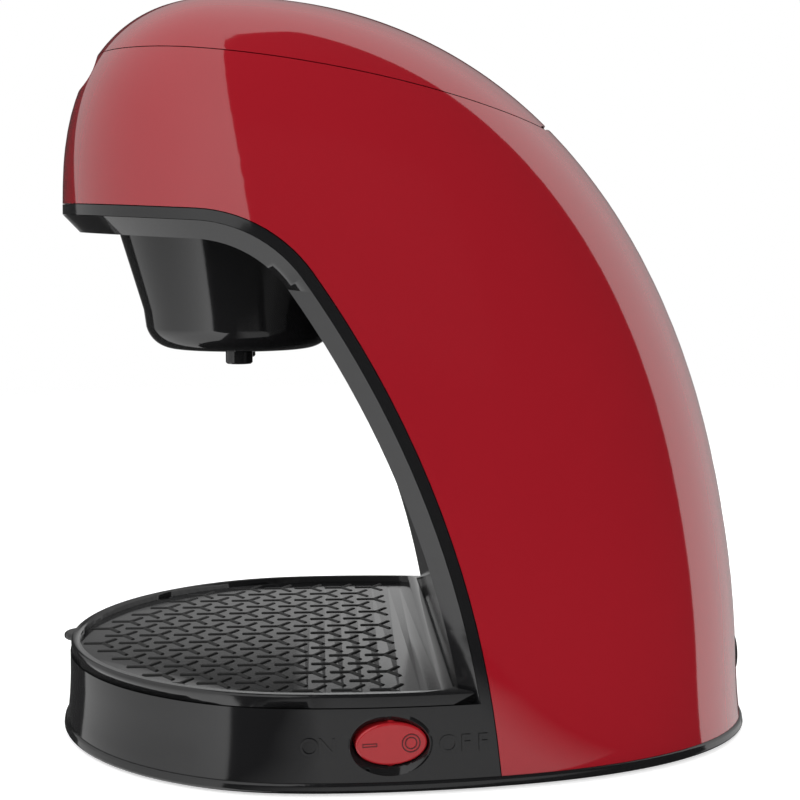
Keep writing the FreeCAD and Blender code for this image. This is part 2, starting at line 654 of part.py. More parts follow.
def make_filter_basket():
    wall, top = "sizes.basket_wall", "sizes.rest_top + sizes.seam"
    flange_top = top + " + sizes.basket_flange_height"
    bend = "(sizes.basket_low_height - sizes.basket_floor) * 0.3"
    middle = "(sizes.basket_floor_radius + sizes.basket_low_radius) / 2"
    body = turned("basket_bowl", [
        ("0", "sizes.basket_floor"),
        ("sizes.basket_floor_radius", "sizes.basket_floor"),
        (middle + " + sizes.basket_bulge", "sizes.basket_floor + " + bend),
        ("sizes.basket_low_radius", "sizes.basket_low_height"),
        ("sizes.basket_nose_radius", "sizes.basket_nose_height"),
        ("sizes.basket_top_radius", top),
        ("sizes.basket_top_radius + sizes.basket_flange", top),
        ("sizes.basket_top_radius + sizes.basket_flange", flange_top),
        ("sizes.basket_top_radius - " + wall, flange_top),
        ("sizes.basket_nose_radius - " + wall, "sizes.basket_nose_height"),
        ("sizes.basket_low_radius - " + wall, "sizes.basket_low_height + 1"),
        (middle + " + sizes.basket_bulge / 2", "sizes.basket_floor + " + wall + " + " + bend),
        ("sizes.basket_floor_radius", "sizes.basket_floor + " + wall),
        ("0", "sizes.basket_floor + " + wall)])
    body.setExpression(".Placement.Base.x", BOWL_X)
    doc.recompute()
    basket = body.Shape.copy()
    low = size("basket_floor") - size("outlet_length")
    high = size("basket_floor") + size("basket_wall") * 2
    spread = size("outlet_spread")
    root, radius = size("basket_floor") + size("basket_wall") / 2, size("outlet_radius")
    outlets = [post(bowl_x, side * spread, low, root, radius) for side in (-1, 1)]
    bores = [post(bowl_x, side * spread, low, high, size("outlet_bore")) for side in (-1, 1)]
    basket = basket.fuse(outlets).cut(Part.makeCompound(bores))
    add_shape("filter_basket", basket)


def make_filter():
    """Mesh cone, and the frame that holds it: ring, ribs, floor disc and finger grip."""
    ring_low = size("rest_top") + size("seam") * 2 + size("basket_flange_height")
    ring_top = ring_low + size("filter_ring_height")
    floor, rib, mesh_wall = size("filter_floor"), size("filter_rib"), size("filter_mesh_wall")
    top_radius = size("basket_top_radius") - size("basket_wall") - size("filter_play")
    low_radius = size("filter_floor_radius")

    def cone(inset):
        return Part.makeCone(low_radius - inset, top_radius - inset, ring_low - floor,
                             Vector(bowl_x, 0, floor))

    inside = cone(rib + mesh_wall).cut(slab(floor - 1, floor + rib + mesh_wall))
    add_shape("filter_mesh", cone(rib).cut(inside).cut(slab(floor - 1, floor + rib)))
    ring = post(bowl_x, 0, ring_low, ring_top, size("basket_top_radius") + size("basket_flange") / 2)
    ring = ring.cut(post(bowl_x, 0, ring_low, ring_top, top_radius - rib - mesh_wall))
    bars = []
    count = 8
    for index in range(count):
        bar = Part.makeBox(2 * top_radius, 2 * rib, ring_low - floor, Vector(0, -rib, floor))
        bar.rotate(Vector(0, 0, 0), Vector(0, 0, 1), 360 * index / count)
        bar.translate(Vector(bowl_x, 0, 0))
        bars.append(bar)
    cage = cone(0.0).common(bars[0].fuse(bars[1:])).cut(cone(rib).cut(slab(floor - 1, floor + rib)))
    disc = cone(0.0).common(slab(floor, floor + rib))
    grip = Part.makeBox(2 * rib, size("handle_width"), size("handle_height"),
                        Vector(bowl_x - top_radius, -size("handle_width") / 2, ring_top - rib))
    grip = grip.makeFillet(rib * 0.8, grip.Edges)
    add_shape("filter_frame", ring.fuse([cage, disc, grip]))


# Drip tray

def make_drip_tray(spine):
    """Tray whose rear corners reach past the chamfers of the spine."""
    low, top = size("deck_top") + size("seam"), size("tray_top")
    rear = -size("strip_width") - size("chamfer") - size("tray_gap")
    tray = body_form(size("seam")).common(slab(low, top))
    tray = tray.cut(spine.translated(Vector(-size("tray_gap"), 0, 0)))
    tray = tray.cut(behind_bay(-size("strip_width") - size("tray_gap")))
    rim = [edge for edge in tray.Edges if edge.BoundBox.ZMin > top - 0.01]
    tray = tray.makeFillet(size("tray_round"), rim)
    well = body_form(size("tray_rim")).common(slab(top - size("tray_depth"), top + 1))
    well = well.cut(behind_bay(rear - size("tray_rear_rim")))
    tray = tray.cut(well)
    front_x = body_limits(top, 0.0)[0]
    middle = top - size("tab_thickness") / 2 - size("tray_round") / 2
    width = size("tab_half_width")
    thick = size("tab_thickness")
    tab = post(front_x - size("tab_length") + width, 0, middle - thick / 2, middle + thick / 2, width)
    tab = tab.makeFillet(thick * 0.4, [edge for edge in tab.Edges if edge.BoundBox.ZLength < 0.1])
    tab = tab.cut(body_form(size("tray_rim") / 2))
    add_shape("drip_tray", tray.fuse(tab))


# Water way

def make_water_tank():
    low, top = size("tank_floor"), size("rest_top") - size("rest_thickness")
    gap, wall = size("wall") + size("tank_gap"), size("tank_wall")
    front = bowl_x + size("tank_front")

    def filled(inset, rise):
        form = body_form(gap + inset).common(behind_bay(size("tank_stand_off") + inset))
        return form.common(Part.makeBox(reach, 2 * span, top - low + 1 - rise,
                                        Vector(front + inset, -span, low + rise)))

    tank = filled(0.0, 0.0).cut(filled(wall, wall)).common(slab(low, top))
    rear_posts = [spot for spot in screw_places() if spot[0] > 0]
    plate_top = size("foot_height") + size("plate_thickness")
    radius = size("post_radius")
    tank = tank.fuse([post(x, y, plate_top, low + wall / 2, radius) for x, y in rear_posts])
    for x, y in rear_posts:
        tank = tank.cut(post(x, y, plate_top, plate_top + size("screw_length"), size("screw_radius")))
    outlet = post(valve_x, size("heater_spread"), low - 1, low + wall + 1, size("spigot_bore"))
    add_shape("water_tank", tank.cut(outlet))


def make_check_valve():
    top = "sizes.tank_floor"
    seat = "sizes.ball_radius * 2 + sizes.ball_travel + 2 * sizes.seam"
    body = turned("check_valve_body", [
        ("sizes.spigot_bore", "-sizes.valve_length - sizes.spigot_length / 2"),
        ("sizes.spigot_radius", "-sizes.valve_length - sizes.spigot_length / 2"),
        ("sizes.spigot_radius", "-sizes.valve_length"),
        ("sizes.valve_radius", "-sizes.valve_length"),
        ("sizes.valve_radius", "0"),
        ("sizes.spigot_bore", "0"),
        ("sizes.spigot_bore", "-sizes.valve_length / 4"),
        ("sizes.ball_radius + 2 * sizes.seam", "-sizes.valve_length / 4"),
        ("sizes.ball_radius + 2 * sizes.seam", "-sizes.valve_length / 4 - (" + seat + ")"),
        ("sizes.spigot_bore", "-sizes.valve_length / 4 - (" + seat + ")")])
    at_valve = (BOWL_X + " + sizes.valve_from_axis", "sizes.heater_spread")
    place(body, at_valve[0], at_valve[1], top)
    ball = doc.addObject("Part::Sphere", "valve_ball")
    ball.setExpression("Radius", "sizes.ball_radius")
    drop = " - sizes.valve_length / 4 - sizes.ball_radius - sizes.ball_travel - sizes.seam"
    place(ball, at_valve[0], at_valve[1], top + drop)


def make_hoses():
    axis_z, start = size("water_axis"), heater_x + size("seam")
    bay = bay_edges(0.0)[2]
    low, middle = [point_at_height(bay, z) for z in (size("tank_floor"), size("tank_floor") * 1.6)]
    foot_x = low.x + (low.x - middle.x) * 0.6
    bend_z = size("tank_floor") * 2.2
    corners = [Vector(start, 0, axis_z), Vector(foot_x, 0, axis_z), low, middle,
               Vector(riser_x, 0, bend_z), Vector(riser_x, 0, size("riser_top"))]
    add_shape("riser_tube", hose(corners, [size("tube_radius") * 2] + [size("riser_bend")] * 3))
    spread = size("heater_spread")
    valve_end = size("tank_floor") - size("valve_length") - size("seam")
    add_shape("cold_hose", hose([Vector(start, spread, axis_z), Vector(valve_x, spread, axis_z),
                                 Vector(valve_x, spread, valve_end)], [size("tube_radius") * 2.6]))


def point_at_height(edge, z):
    cut = edge.common(Part.makeBox(4 * reach, 2, 0.01, Vector(-2 * reach, -1, z)))
    return cut.Vertexes[0].Point


def make_hose_clamps():
    inner = size("tube_radius") + size("press_play")
    outer = inner + size("clamp_wall")
    width = size("spigot_length") * 0.6
    start = heater_x + size("seam") + 1
    rings = []
    for y in (0.0, size("heater_spread")):
        rings.append(long_rod(y, size("water_axis"), outer, start, start + width).cut(
            long_rod(y, size("water_axis"), inner, start, start + width)))
    top = size("tank_floor") - size("valve_length") - size("seam") - 1
    valve = post(valve_x, size("heater_spread"), top - width, top, outer)
    rings.append(valve.cut(post(valve_x, size("heater_spread"), top - width, top, inner)))
    add_shape("hose_clamps", Part.makeCompound(rings))


def make_riser_grommet():
    body = turned("riser_grommet", [
        ("sizes.tube_radius + sizes.press_play", "-sizes.rest_thickness"),
        ("sizes.tube_radius + 1.9 * sizes.seam", "-sizes.rest_thickness"),
        ("sizes.tube_radius + 1.9 * sizes.seam", "0"),
        ("sizes.tube_radius * 1.7", "0"),
        ("sizes.tube_radius * 1.7", "sizes.rest_thickness * 0.8"),
        ("sizes.tube_radius + sizes.press_play", "sizes.rest_thickness * 1.6")])
    place(body, BOWL_X + " + sizes.riser_from_axis", "0", "sizes.rest_top")


def u_path(gap, radius, rear_x):
    """Rod bent to a U, open to the rear, centred between the heater legs."""
    middle = size("heater_spread") / 2
    z = size("water_axis")
    near, far = Vector(bowl_x, middle - gap, z), Vector(bowl_x, middle + gap, z)
    back = Vector(rear_x - bowl_x, 0, 0)
    edges = [Part.LineSegment(near + back, near).toShape(),
             Part.Arc(near, Vector(bowl_x - gap, middle, z), far).toShape(),
             Part.LineSegment(far, far + back).toShape()]
    ring = Part.Wire(Part.Circle(near + back, Vector(-1, 0, 0), radius).toShape())
    return Part.Wire(edges).makePipeShell([ring], True, True)


def element_gap():
    return size("heater_spread") / 2 - size("heater_radius") - size("element_radius") - size("seam") / 3


def make_heater():
    half = size("heater_spread") / 2
    heater = u_path(half, size("heater_radius"), heater_x)
    heater = heater.fuse(u_path(half, size("spigot_radius"), heater_x + size("spigot_length")))
    bore = u_path(half, size("spigot_bore"), heater_x + size("spigot_length"))
    add_shape("water_heater", heater.cut(bore))
    element = u_path(element_gap(), size("element_radius"), heater_x)
    terminal = u_path(element_gap(), size("element_radius") * 0.4, heater_x + size("spigot_length"))
    add_shape("heating_element", element.fuse(terminal))


def bracket_top():
    return size("water_axis") + size("heater_radius") + size("bracket_thickness")


def bracket_places():
    middle = size("heater_spread") / 2
    return [(bowl_x + size("bracket_front"), middle), (bowl_x + size("bracket_rear"), middle)]


def make_heater_bracket():
    low, high = bracket_top() - size("bracket_thickness"), bracket_top()
    shank_top = size("deck_top") - size("deck_thickness") - size("seam")
    (front, middle), (rear, _) = bracket_places()
    half = size("heater_spread") / 2 + size("heater_radius") * 0.7
    margin = size("bracket_margin")
    plate = Part.makeBox(rear - front + 2 * margin, 2 * half, high - low,
                         Vector(front - margin, middle - half, low))
    head_low = low - size("screw_head_height")
    screws = []
    for x, y in bracket_places():
        plate = plate.cut(post(x, y, low, high, size("screw_radius") + size("seam") / 2))
        shank = post(x, y, low, shank_top, size("screw_radius"))
        screws.append(shank.fuse(post(x, y, head_low, low, size("screw_head"))))
    add_shape("heater_bracket", plate)
    add_shape("heater_screws", Part.makeCompound(screws))


def blade(x, y, z):
    """Push-on blade that stands towards the middle, its root at y."""
    thick, width = size("blade_thickness"), size("blade_width")
    return Part.makeBox(thick, size("blade_length"), width, Vector(x - thick / 2, y, z - width / 2))


def make_thermostats():
    z = size("water_axis")
    face = -size("heater_radius")
    rear = face - size("thermostat_thickness")
    body_x = bowl_x + size("thermostat_from_axis")
    disc = cross_rod(body_x, z, size("heater_radius") * 0.9, rear, face)
    tabs = [blade(body_x + side * size("heater_radius") / 2, rear - size("blade_length"), z)
            for side in (-1, 1)]
    add_shape("thermostat", disc.fuse(tabs))
    fuse_y = size("heater_spread") + size("heater_radius") + size("fuse_radius")
    start, end = body_x - size("fuse_length"), body_x
    lead = size("lead_length")
    can = long_rod(fuse_y, z, size("fuse_radius"), start, end)
    leads = long_rod(fuse_y, z, size("lead_radius"), start - lead, end + lead)
    add_shape("thermal_fuse", can.fuse(leads))


# Switch, gland, feet and screws

def make_switch():
    z = size("switch_height")
    face = flank_y(switch_x, z)
    pivot_y = -face + size("rocker_inset")
    length, height = size("rocker_length"), size("rocker_height")
    play, wall = size("rocker_play"), size("switch_wall")
    front, back = -face + 2 * size("wall"), -face + size("switch_depth")
    half_length, half_height = length / 2 + 2 * play + wall, height / 2 + play + wall
    box = Part.makeBox(2 * half_length, back - front, 2 * half_height,
                       Vector(switch_x - half_length, front, z - half_height))
    body = switch_hole().common(body_form(0.0)).fuse(box)
    room = oval(switch_x, z, length + 2 * play, height + 2 * play,
                -face - size("wall"), pivot_y + size("rocker_depth"))
    lip, depth = size("bezel_lip"), size("dish_depth")
    grow_length = size("bezel_length") - 2 * lip - length - 2 * play
    grow_height = size("bezel_height") - 2 * lip - height - 2 * play
    dish = [oval_wire(switch_x, -face + depth * (1 - share), z, length + 2 * play + grow_length * share,
                      height + 2 * play + grow_height * share) for share in (0, 2)]
    body = body.cut(Part.makeLoft(dish, True, True))
    reach_up = height / 2 + play + wall / 2
    socket_up = reach_up + play / 2
    socket_radius = size("rocker_pin") + size("pin_play")
    socket = post(switch_x, pivot_y, z - socket_up, z + socket_up, socket_radius)
    blades = [blade(switch_x + side * size("blade_spread"), back, z) for side in (-1, 1)]
    add_shape("switch_body", body.cut(room).cut(socket).fuse(blades))
    half = size("rocker_depth") / 2
    rocker = oval(switch_x, z, length, height, pivot_y - half, pivot_y + half)
    crown = [edge for edge in rocker.Edges if edge.BoundBox.YMax < pivot_y]
    rocker = rocker.makeFillet(size("rocker_round"), crown)
    rocker.rotate(Vector(switch_x, pivot_y, z), Vector(0, 0, 1), size("rocker_tilt"))
    pin = post(switch_x, pivot_y, z - reach_up, z + reach_up, size("rocker_pin"))
    add_shape("switch_rocker", rocker.fuse(pin))


def make_cord_gland():
    inner, lip = "-sizes.wall - sizes.gland_slack", "sizes.gland_lip"
    body = turned("cord_gland", [
        ("sizes.gland_bore", inner + " - " + lip),
        ("sizes.gland_flange", inner + " - " + lip),
        ("sizes.gland_flange", inner),
        ("sizes.gland_neck", inner),
        ("sizes.gland_neck", "sizes.seam"),
        ("sizes.gland_flange", "sizes.seam"),
        ("sizes.gland_flange * 0.9", "sizes.seam + " + lip),
        ("sizes.gland_bore", "sizes.seam + " + lip)])
    rear_x = body_limits(size("gland_height"), 0.0)[1]
    turn = FreeCAD.Rotation(Vector(0, 1, 0), 90)
    body.Placement = FreeCAD.Placement(Vector(rear_x, 0, 0), turn)
    body.setExpression(".Placement.Base.z", "sizes.gland_height")
    parts.append(body)


def make_feet_and_screws():
    feet, screws = [], []
    low = size("foot_height")
    for x, y in screw_places():
        outward = math.copysign(size("foot_inset"), x)
        foot = Part.makeCone(size("foot_radius") - low / 2, size("foot_radius"), low)
        foot.translate(Vector(x + outward, y * 0.75, 0))
        feet.append(foot)
        shank_low = low + size("screw_head_height")
        shank_top = low + size("plate_thickness") + size("screw_length") - 1
        shank = post(x, y, shank_low, shank_top, size("screw_radius"))
        screws.append(shank.fuse(post(x, y, low + size("seam"), shank_low, size("screw_head"))))
    add_shape("rubber_feet", Part.makeCompound(feet))
    add_shape("base_screws", Part.makeCompound(screws))


def make_wires():
    """Two insulated wires from the gland to the switch blades."""
    low, high = size("switch_height"), size("gland_height")
    neck = size("wall") + size("gland_slack") + size("gland_lip")
    gland_x = body_limits(high, 0.0)[1] - neck - size("wire_start")
    blade_y = -flank_y(switch_x, low) + size("switch_depth") + size("blade_length")
    wires = []
    for side in (-1, 1):
        end_x = switch_x + side * size("blade_spread")
        apart = side * size("wire_radius") * 1.5
        turn_y = blade_y + size("wire_turn") + 2 * apart
        corners = [Vector(gland_x, apart, high),
                   Vector(gland_x - size("wire_lead"), apart, high),
                   Vector(switch_x + size("wire_run"), turn_y + size("wire_turn") / 2, low),
                   Vector(end_x, turn_y, low),
                   Vector(end_x, blade_y, low)]
        bends = [size("wire_bend"), size("wire_bend"), size("wire_bend") / 2]
        wires.append(tube(corners, bends, size("wire_radius")))
    add_shape("supply_wires", Part.makeCompound(wires))


def build():
    skin = shell_skin()
    spine = spine_form()
    make_base_plate()
    make_base_housing(skin)
    make_spine_panel(spine)
    make_outer_shell(skin)
    make_top_deck()
    make_lid(skin)
    make_lid_liner()
    make_shower_head()
    make_hinge_pin()
    make_filter_basket()
    make_filter()
    make_drip_tray(spine)
    make_water_tank()
    make_check_valve()
    make_hoses()
    make_hose_clamps()
    make_riser_grommet()
    make_heater()
    make_heater_bracket()
    make_thermostats()
    make_switch()
    make_cord_gland()
    make_feet_and_screws()
    make_wires()


def check_and_export():
    doc.recompute()
    for thing in doc.Objects:
        if "Invalid" in thing.State or "Error" in thing.State:
            raise RuntimeError("%s failed: %s" % (thing.Label, thing.State))
    for piece in parts:
        if piece.Shape.isNull() or not piece.Shape.isValid() or piece.Shape.Volume <= 0:
            raise RuntimeError("%s has no valid solid" % piece.Label)
    os.makedirs("parts", exist_ok=True)
    for piece in parts:
        piece.Shape.exportStep("parts/%s.step" % piece.Label)


build()
check_and_export()
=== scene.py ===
import json
import math

import bmesh
import bpy
import numpy as np
from mathutils import Matrix, Vector
from mathutils.bvhtree import BVHTree


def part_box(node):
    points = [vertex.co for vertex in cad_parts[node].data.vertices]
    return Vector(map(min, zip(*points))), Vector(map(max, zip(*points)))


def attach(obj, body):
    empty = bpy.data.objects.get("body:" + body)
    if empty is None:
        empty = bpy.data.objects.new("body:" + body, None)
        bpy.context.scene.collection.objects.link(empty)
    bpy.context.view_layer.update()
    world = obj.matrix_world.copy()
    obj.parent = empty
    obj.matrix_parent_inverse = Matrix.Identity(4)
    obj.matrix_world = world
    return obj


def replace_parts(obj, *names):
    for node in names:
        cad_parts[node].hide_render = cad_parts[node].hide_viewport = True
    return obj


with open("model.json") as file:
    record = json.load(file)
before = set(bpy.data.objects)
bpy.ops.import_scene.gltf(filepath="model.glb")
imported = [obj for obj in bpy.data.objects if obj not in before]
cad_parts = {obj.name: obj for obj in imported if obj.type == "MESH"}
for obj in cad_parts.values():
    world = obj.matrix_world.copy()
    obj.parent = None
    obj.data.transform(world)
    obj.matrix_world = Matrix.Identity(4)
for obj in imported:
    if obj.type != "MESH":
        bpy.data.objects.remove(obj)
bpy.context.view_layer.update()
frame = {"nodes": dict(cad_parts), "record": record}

MM = 0.001

# Form of the moulded body, as in the part's source
BODY_HEIGHT = 250.5 * MM
HALF_WIDTH = 87.5 * MM
FRONT_REACH = 57.0 * MM
REAR_REACH = 178.5 * MM
CROWN_X = (FRONT_REACH - REAR_REACH) / 2
NOSE_START = 178.0 * MM
FLARE = 2.5 * MM
FLARE_HEIGHT = 25.0 * MM
NOSE_POWER = 2.5
BACK_POWER = 2.22
SIDE_POWER = 3.5
FRONT_PLAN_POWER = 2.0
REAR_PLAN_POWER = 2.4
WIDEST_SHARE = 0.37
BELOW_TOP = 0.99999

# Places read from the frame
basket_low, basket_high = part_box("filter_basket")
BASKET_X = (basket_low.x + basket_high.x) / 2
tray_low, tray_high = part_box("drip_tray")
rocker_low, rocker_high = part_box("switch_rocker")
ROCKER_MIDDLE = (rocker_low + rocker_high) / 2


# Node groups shared by the finishes

def make_group(name, inputs, outputs):
    """An empty node group with number inputs and named outputs."""
    group = bpy.data.node_groups.new(name, "ShaderNodeTree")
    for label, value in inputs.items():
        socket = group.interface.new_socket(label, in_out="INPUT", socket_type="NodeSocketFloat")
        socket.default_value = value
    for label, kind in outputs.items():
        group.interface.new_socket(label, in_out="OUTPUT", socket_type=kind)
    start = group.nodes.new("NodeGroupInput")
    end = group.nodes.new("NodeGroupOutput")
    return group, start, end


def add_node(tree, kind, **settings):
    """A node of a tree, with its settings."""
    node = tree.nodes.new(kind)
    for label, value in settings.items():
        setattr(node, label, value)
    return node


def make_breakup_group():
    """Soft patches that vary a finish: a mask, and a roughness between two values."""
    group, start, end = make_group("finish_breakup", {"Scale": 40.0, "Low": 0.1, "High": 0.2},
                                   {"Mask": "NodeSocketFloat", "Roughness": "NodeSocketFloat"})
    place = add_node(group, "ShaderNodeTexCoord")
    noise = add_node(group, "ShaderNodeTexNoise")
    noise.inputs["Detail"].default_value = 5.0
    spread = add_node(group, "ShaderNodeMapRange")
    link = group.links.new
    link(place.outputs["Object"], noise.inputs["Vector"])
    link(start.outputs["Scale"], noise.inputs["Scale"])
    link(noise.outputs["Fac"], spread.inputs["Value"])
    link(start.outputs["Low"], spread.inputs["To Min"])
    link(start.outputs["High"], spread.inputs["To Max"])
    link(noise.outputs["Fac"], end.inputs["Mask"])
    link(spread.outputs["Result"], end.inputs["Roughness"])
    return group


def make_grain_group():
    """Fine unevenness of a moulded or cast surface, as a normal."""
    group, start, end = make_group("fine_grain", {"Scale": 900.0, "Strength": 0.05, "Depth": 0.0002},
                                   {"Normal": "NodeSocketVector"})
    place = add_node(group, "ShaderNodeTexCoord")
    noise = add_node(group, "ShaderNodeTexNoise")
    noise.inputs["Detail"].default_value = 3.0
    bump = add_node(group, "ShaderNodeBump")
    link = group.links.new
    link(place.outputs["Object"], noise.inputs["Vector"])
    link(start.outputs["Scale"], noise.inputs["Scale"])
    link(start.outputs["Strength"], bump.inputs["Strength"])
    link(start.outputs["Depth"], bump.inputs["Distance"])
    link(noise.outputs["Fac"], bump.inputs["Height"])
    link(bump.outputs["Normal"], end.inputs["Normal"])
    return group


def make_weave_group():
    """Woven wire round the basket axis: height of the wires."""
    group, start, end = make_group("wire_weave", {"Wires": 260.0, "Pitch": 1000.0},
                                   {"Height": "NodeSocketFloat"})
    place = add_node(group, "ShaderNodeTexCoord")
    centre = add_node(group, "ShaderNodeMapping")
    centre.inputs["Location"].default_value = (-BASKET_X, 0.0, 0.0)
    around = add_node(group, "ShaderNodeTexGradient", gradient_type="RADIAL")
    turns = add_node(group, "ShaderNodeMath", operation="MULTIPLY")
    upright = add_node(group, "ShaderNodeMath", operation="PINGPONG")
    upright.inputs[1].default_value = 0.5
    split = add_node(group, "ShaderNodeSeparateXYZ")
    levels = add_node(group, "ShaderNodeMath", operation="MULTIPLY")
    hoop = add_node(group, "ShaderNodeMath", operation="PINGPONG")
    hoop.inputs[1].default_value = 0.5
    crossing = add_node(group, "ShaderNodeMath", operation="MAXIMUM")
    link = group.links.new
    link(place.outputs["Object"], centre.inputs["Vector"])
    link(centre.outputs["Vector"], around.inputs["Vector"])
    link(around.outputs["Fac"], turns.inputs[0])
    link(start.outputs["Wires"], turns.inputs[1])
    link(turns.outputs["Value"], upright.inputs[0])
    link(place.outputs["Object"], split.inputs["Vector"])
    link(split.outputs["Z"], levels.inputs[0])
    link(start.outputs["Pitch"], levels.inputs[1])
    link(levels.outputs["Value"], hoop.inputs[0])
    link(upright.outputs["Value"], crossing.inputs[0])
    link(hoop.outputs["Value"], crossing.inputs[1])
    link(crossing.outputs["Value"], end.inputs["Height"])
    return group


BREAKUP = make_breakup_group()
GRAIN = make_grain_group()
WEAVE = make_weave_group()


# Finishes, one for each material slot of the part

def make_finish(name, dark, light, rough, patch=40.0, grain=900.0, relief=0.05, depth=0.0002,
                **sockets):
    """A finish whose colour and roughness vary in soft patches over a fine grain."""
    material = bpy.data.materials.new(name)
    material.use_nodes = True
    tree = material.node_tree
    shader = tree.nodes["Principled BSDF"]
    breakup = add_node(tree, "ShaderNodeGroup", node_tree=BREAKUP)
    breakup.inputs["Scale"].default_value = patch
    breakup.inputs["Low"].default_value, breakup.inputs["High"].default_value = rough
    tone = add_node(tree, "ShaderNodeMix", data_type="RGBA")
    tone.inputs["A"].default_value = (*dark, 1.0)
    tone.inputs["B"].default_value = (*light, 1.0)
    surface = add_node(tree, "ShaderNodeGroup", node_tree=GRAIN)
    surface.inputs["Scale"].default_value = grain
    surface.inputs["Strength"].default_value = relief
    surface.inputs["Depth"].default_value = depth
    link = tree.links.new
    link(breakup.outputs["Mask"], tone.inputs["Factor"])
    link(tone.outputs["Result"], shader.inputs["Base Color"])
    link(breakup.outputs["Roughness"], shader.inputs["Roughness"])
    link(surface.outputs["Normal"], shader.inputs["Normal"])
    for label, value in sockets.items():
        shader.inputs[label.replace("_", " ")].default_value = value
    return material


def weave_finish(material, strength, depth):
    """Lays woven wires over a finish."""
    tree = material.node_tree
    shader = tree.nodes["Principled BSDF"]
    weave = add_node(tree, "ShaderNodeGroup", node_tree=WEAVE)
    bump = add_node(tree, "ShaderNodeBump")
    bump.inputs["Strength"].default_value = strength
    bump.inputs["Distance"].default_value = depth
    tree.links.new(weave.outputs["Height"], bump.inputs["Height"])
    tree.links.new(bump.outputs["Normal"], shader.inputs["Normal"])
    return material


RED = ((0.265, 0.0060, 0.0125), (0.300, 0.0075, 0.0150))
BLACK = ((0.0065, 0.0065, 0.0070), (0.0095, 0.0095, 0.0100))
FINISHES = {
    "red_shell": make_finish("red_shell", *RED, (0.05, 0.08), patch=9.0, grain=260.0, relief=0.02,
                             Coat_Weight=0.5, Coat_Roughness=0.03),
    "black_shell": make_finish("black_shell", *BLACK, (0.07, 0.11), patch=16.0, grain=420.0,
                               relief=0.02),
    "tray_plastic": make_finish("tray_plastic", *BLACK, (0.10, 0.15), patch=30.0, grain=700.0,
                                relief=0.03),
    "tray_ribs": make_finish("tray_ribs", (0.004, 0.004, 0.004), (0.006, 0.006, 0.006), (0.5, 0.62),
                             patch=60.0, grain=2200.0, relief=0.2),
    "dark_inner": make_finish("dark_inner", (0.016, 0.016, 0.017), (0.026, 0.026, 0.027), (0.42, 0.58),
                              grain=1600.0, relief=0.25),
    "tank_plastic": make_finish("tank_plastic", (0.60, 0.61, 0.60), (0.70, 0.71, 0.69), (0.34, 0.46),
                                patch=12.0, grain=1200.0, relief=0.1),
    "red_rocker": make_finish("red_rocker", (0.30, 0.008, 0.012), (0.36, 0.011, 0.016), (0.16, 0.22),
                              patch=120.0, grain=2000.0, Coat_Weight=0.3, Coat_Roughness=0.08),
    "dark_rubber": make_finish("dark_rubber", (0.014, 0.014, 0.014), (0.024, 0.024, 0.023), (0.62, 0.8),
                               patch=120.0, grain=2600.0, relief=0.3),
    "silicone": make_finish("silicone", (0.52, 0.52, 0.50), (0.62, 0.62, 0.60), (0.4, 0.55),
                            patch=60.0, grain=1500.0, relief=0.15),
    "steel": make_finish("steel", (0.46, 0.46, 0.47), (0.58, 0.58, 0.59), (0.24, 0.4), patch=300.0,
                         grain=2400.0, relief=0.15, Metallic=1.0),
    "filter_mesh": weave_finish(make_finish("filter_mesh", (0.40, 0.39, 0.36), (0.52, 0.51, 0.48),
                                            (0.3, 0.42), patch=200.0, Metallic=1.0), 0.9, 0.0003),
    "cast_aluminium": make_finish("cast_aluminium", (0.50, 0.50, 0.51), (0.64, 0.64, 0.65), (0.36, 0.52),
                                  patch=90.0, grain=1100.0, relief=0.35, depth=0.0004, Metallic=1.0),
    "phenolic": make_finish("phenolic", (0.035, 0.018, 0.012), (0.060, 0.030, 0.020), (0.34, 0.46),
                            patch=200.0, grain=1800.0, relief=0.2),
    "fuse_can": make_finish("fuse_can", (0.50, 0.40, 0.22), (0.60, 0.49, 0.28), (0.28, 0.38),
                            patch=250.0, grain=2000.0, Metallic=1.0),
    "wire_sleeve": make_finish("wire_sleeve", (0.46, 0.46, 0.44), (0.56, 0.56, 0.53), (0.4, 0.52),
                               patch=200.0, grain=2200.0),
    "mark_ink": make_finish("mark_ink", (0.050, 0.003, 0.004), (0.070, 0.004, 0.006), (0.3, 0.4),
                            patch=300.0, grain=2400.0),
}
SLOT_OF = {piece["node"]: piece["material_slot"] for piece in frame["record"]["subparts"]}


def finish_frame():
    """Every CAD node takes the finish of its own slot."""
    for node, piece in frame["nodes"].items():
        piece.data.materials.clear()
        piece.data.materials.append(FINISHES[SLOT_OF[node]])


# Making pieces

FRAME_GAP = 0.002 * MM
TURN_GAP = 0.005 * MM


def add_piece(name, mesh, body, finish):
    """A finished piece that rides on a body of the frame."""
    piece = bpy.data.objects.new(name, mesh)
    bpy.context.scene.collection.objects.link(piece)
    mesh.materials.clear()
    mesh.materials.append(FINISHES[finish])
    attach(piece, body)
    return piece


def close_mesh(name, bm):
    """The finished mesh of a bmesh, which is freed."""
    mesh = bpy.data.meshes.new(name)
    bm.to_mesh(mesh)
    bm.free()
    return mesh


def join_mesh(whole, mesh):
    """Adds a mesh to a larger piece and drops it."""
    whole.from_mesh(mesh)
    bpy.data.meshes.remove(mesh)


def smooth_by_angle(mesh, degrees):
    """Smooth faces, sharp where they meet at more than an angle."""
    mesh.shade_smooth()
    mesh.set_sharp_from_angle(angle=math.radians(degrees))


def shape_sheet(bm, rows):
    """A grid laid through rows of points."""
    made = bmesh.ops.create_grid(bm, x_segments=len(rows[0]) - 1, y_segments=len(rows) - 1, size=1.0)
    for vert, point in zip(made["verts"], [point for row in rows for point in row]):
        vert.co = point
    return made["verts"]


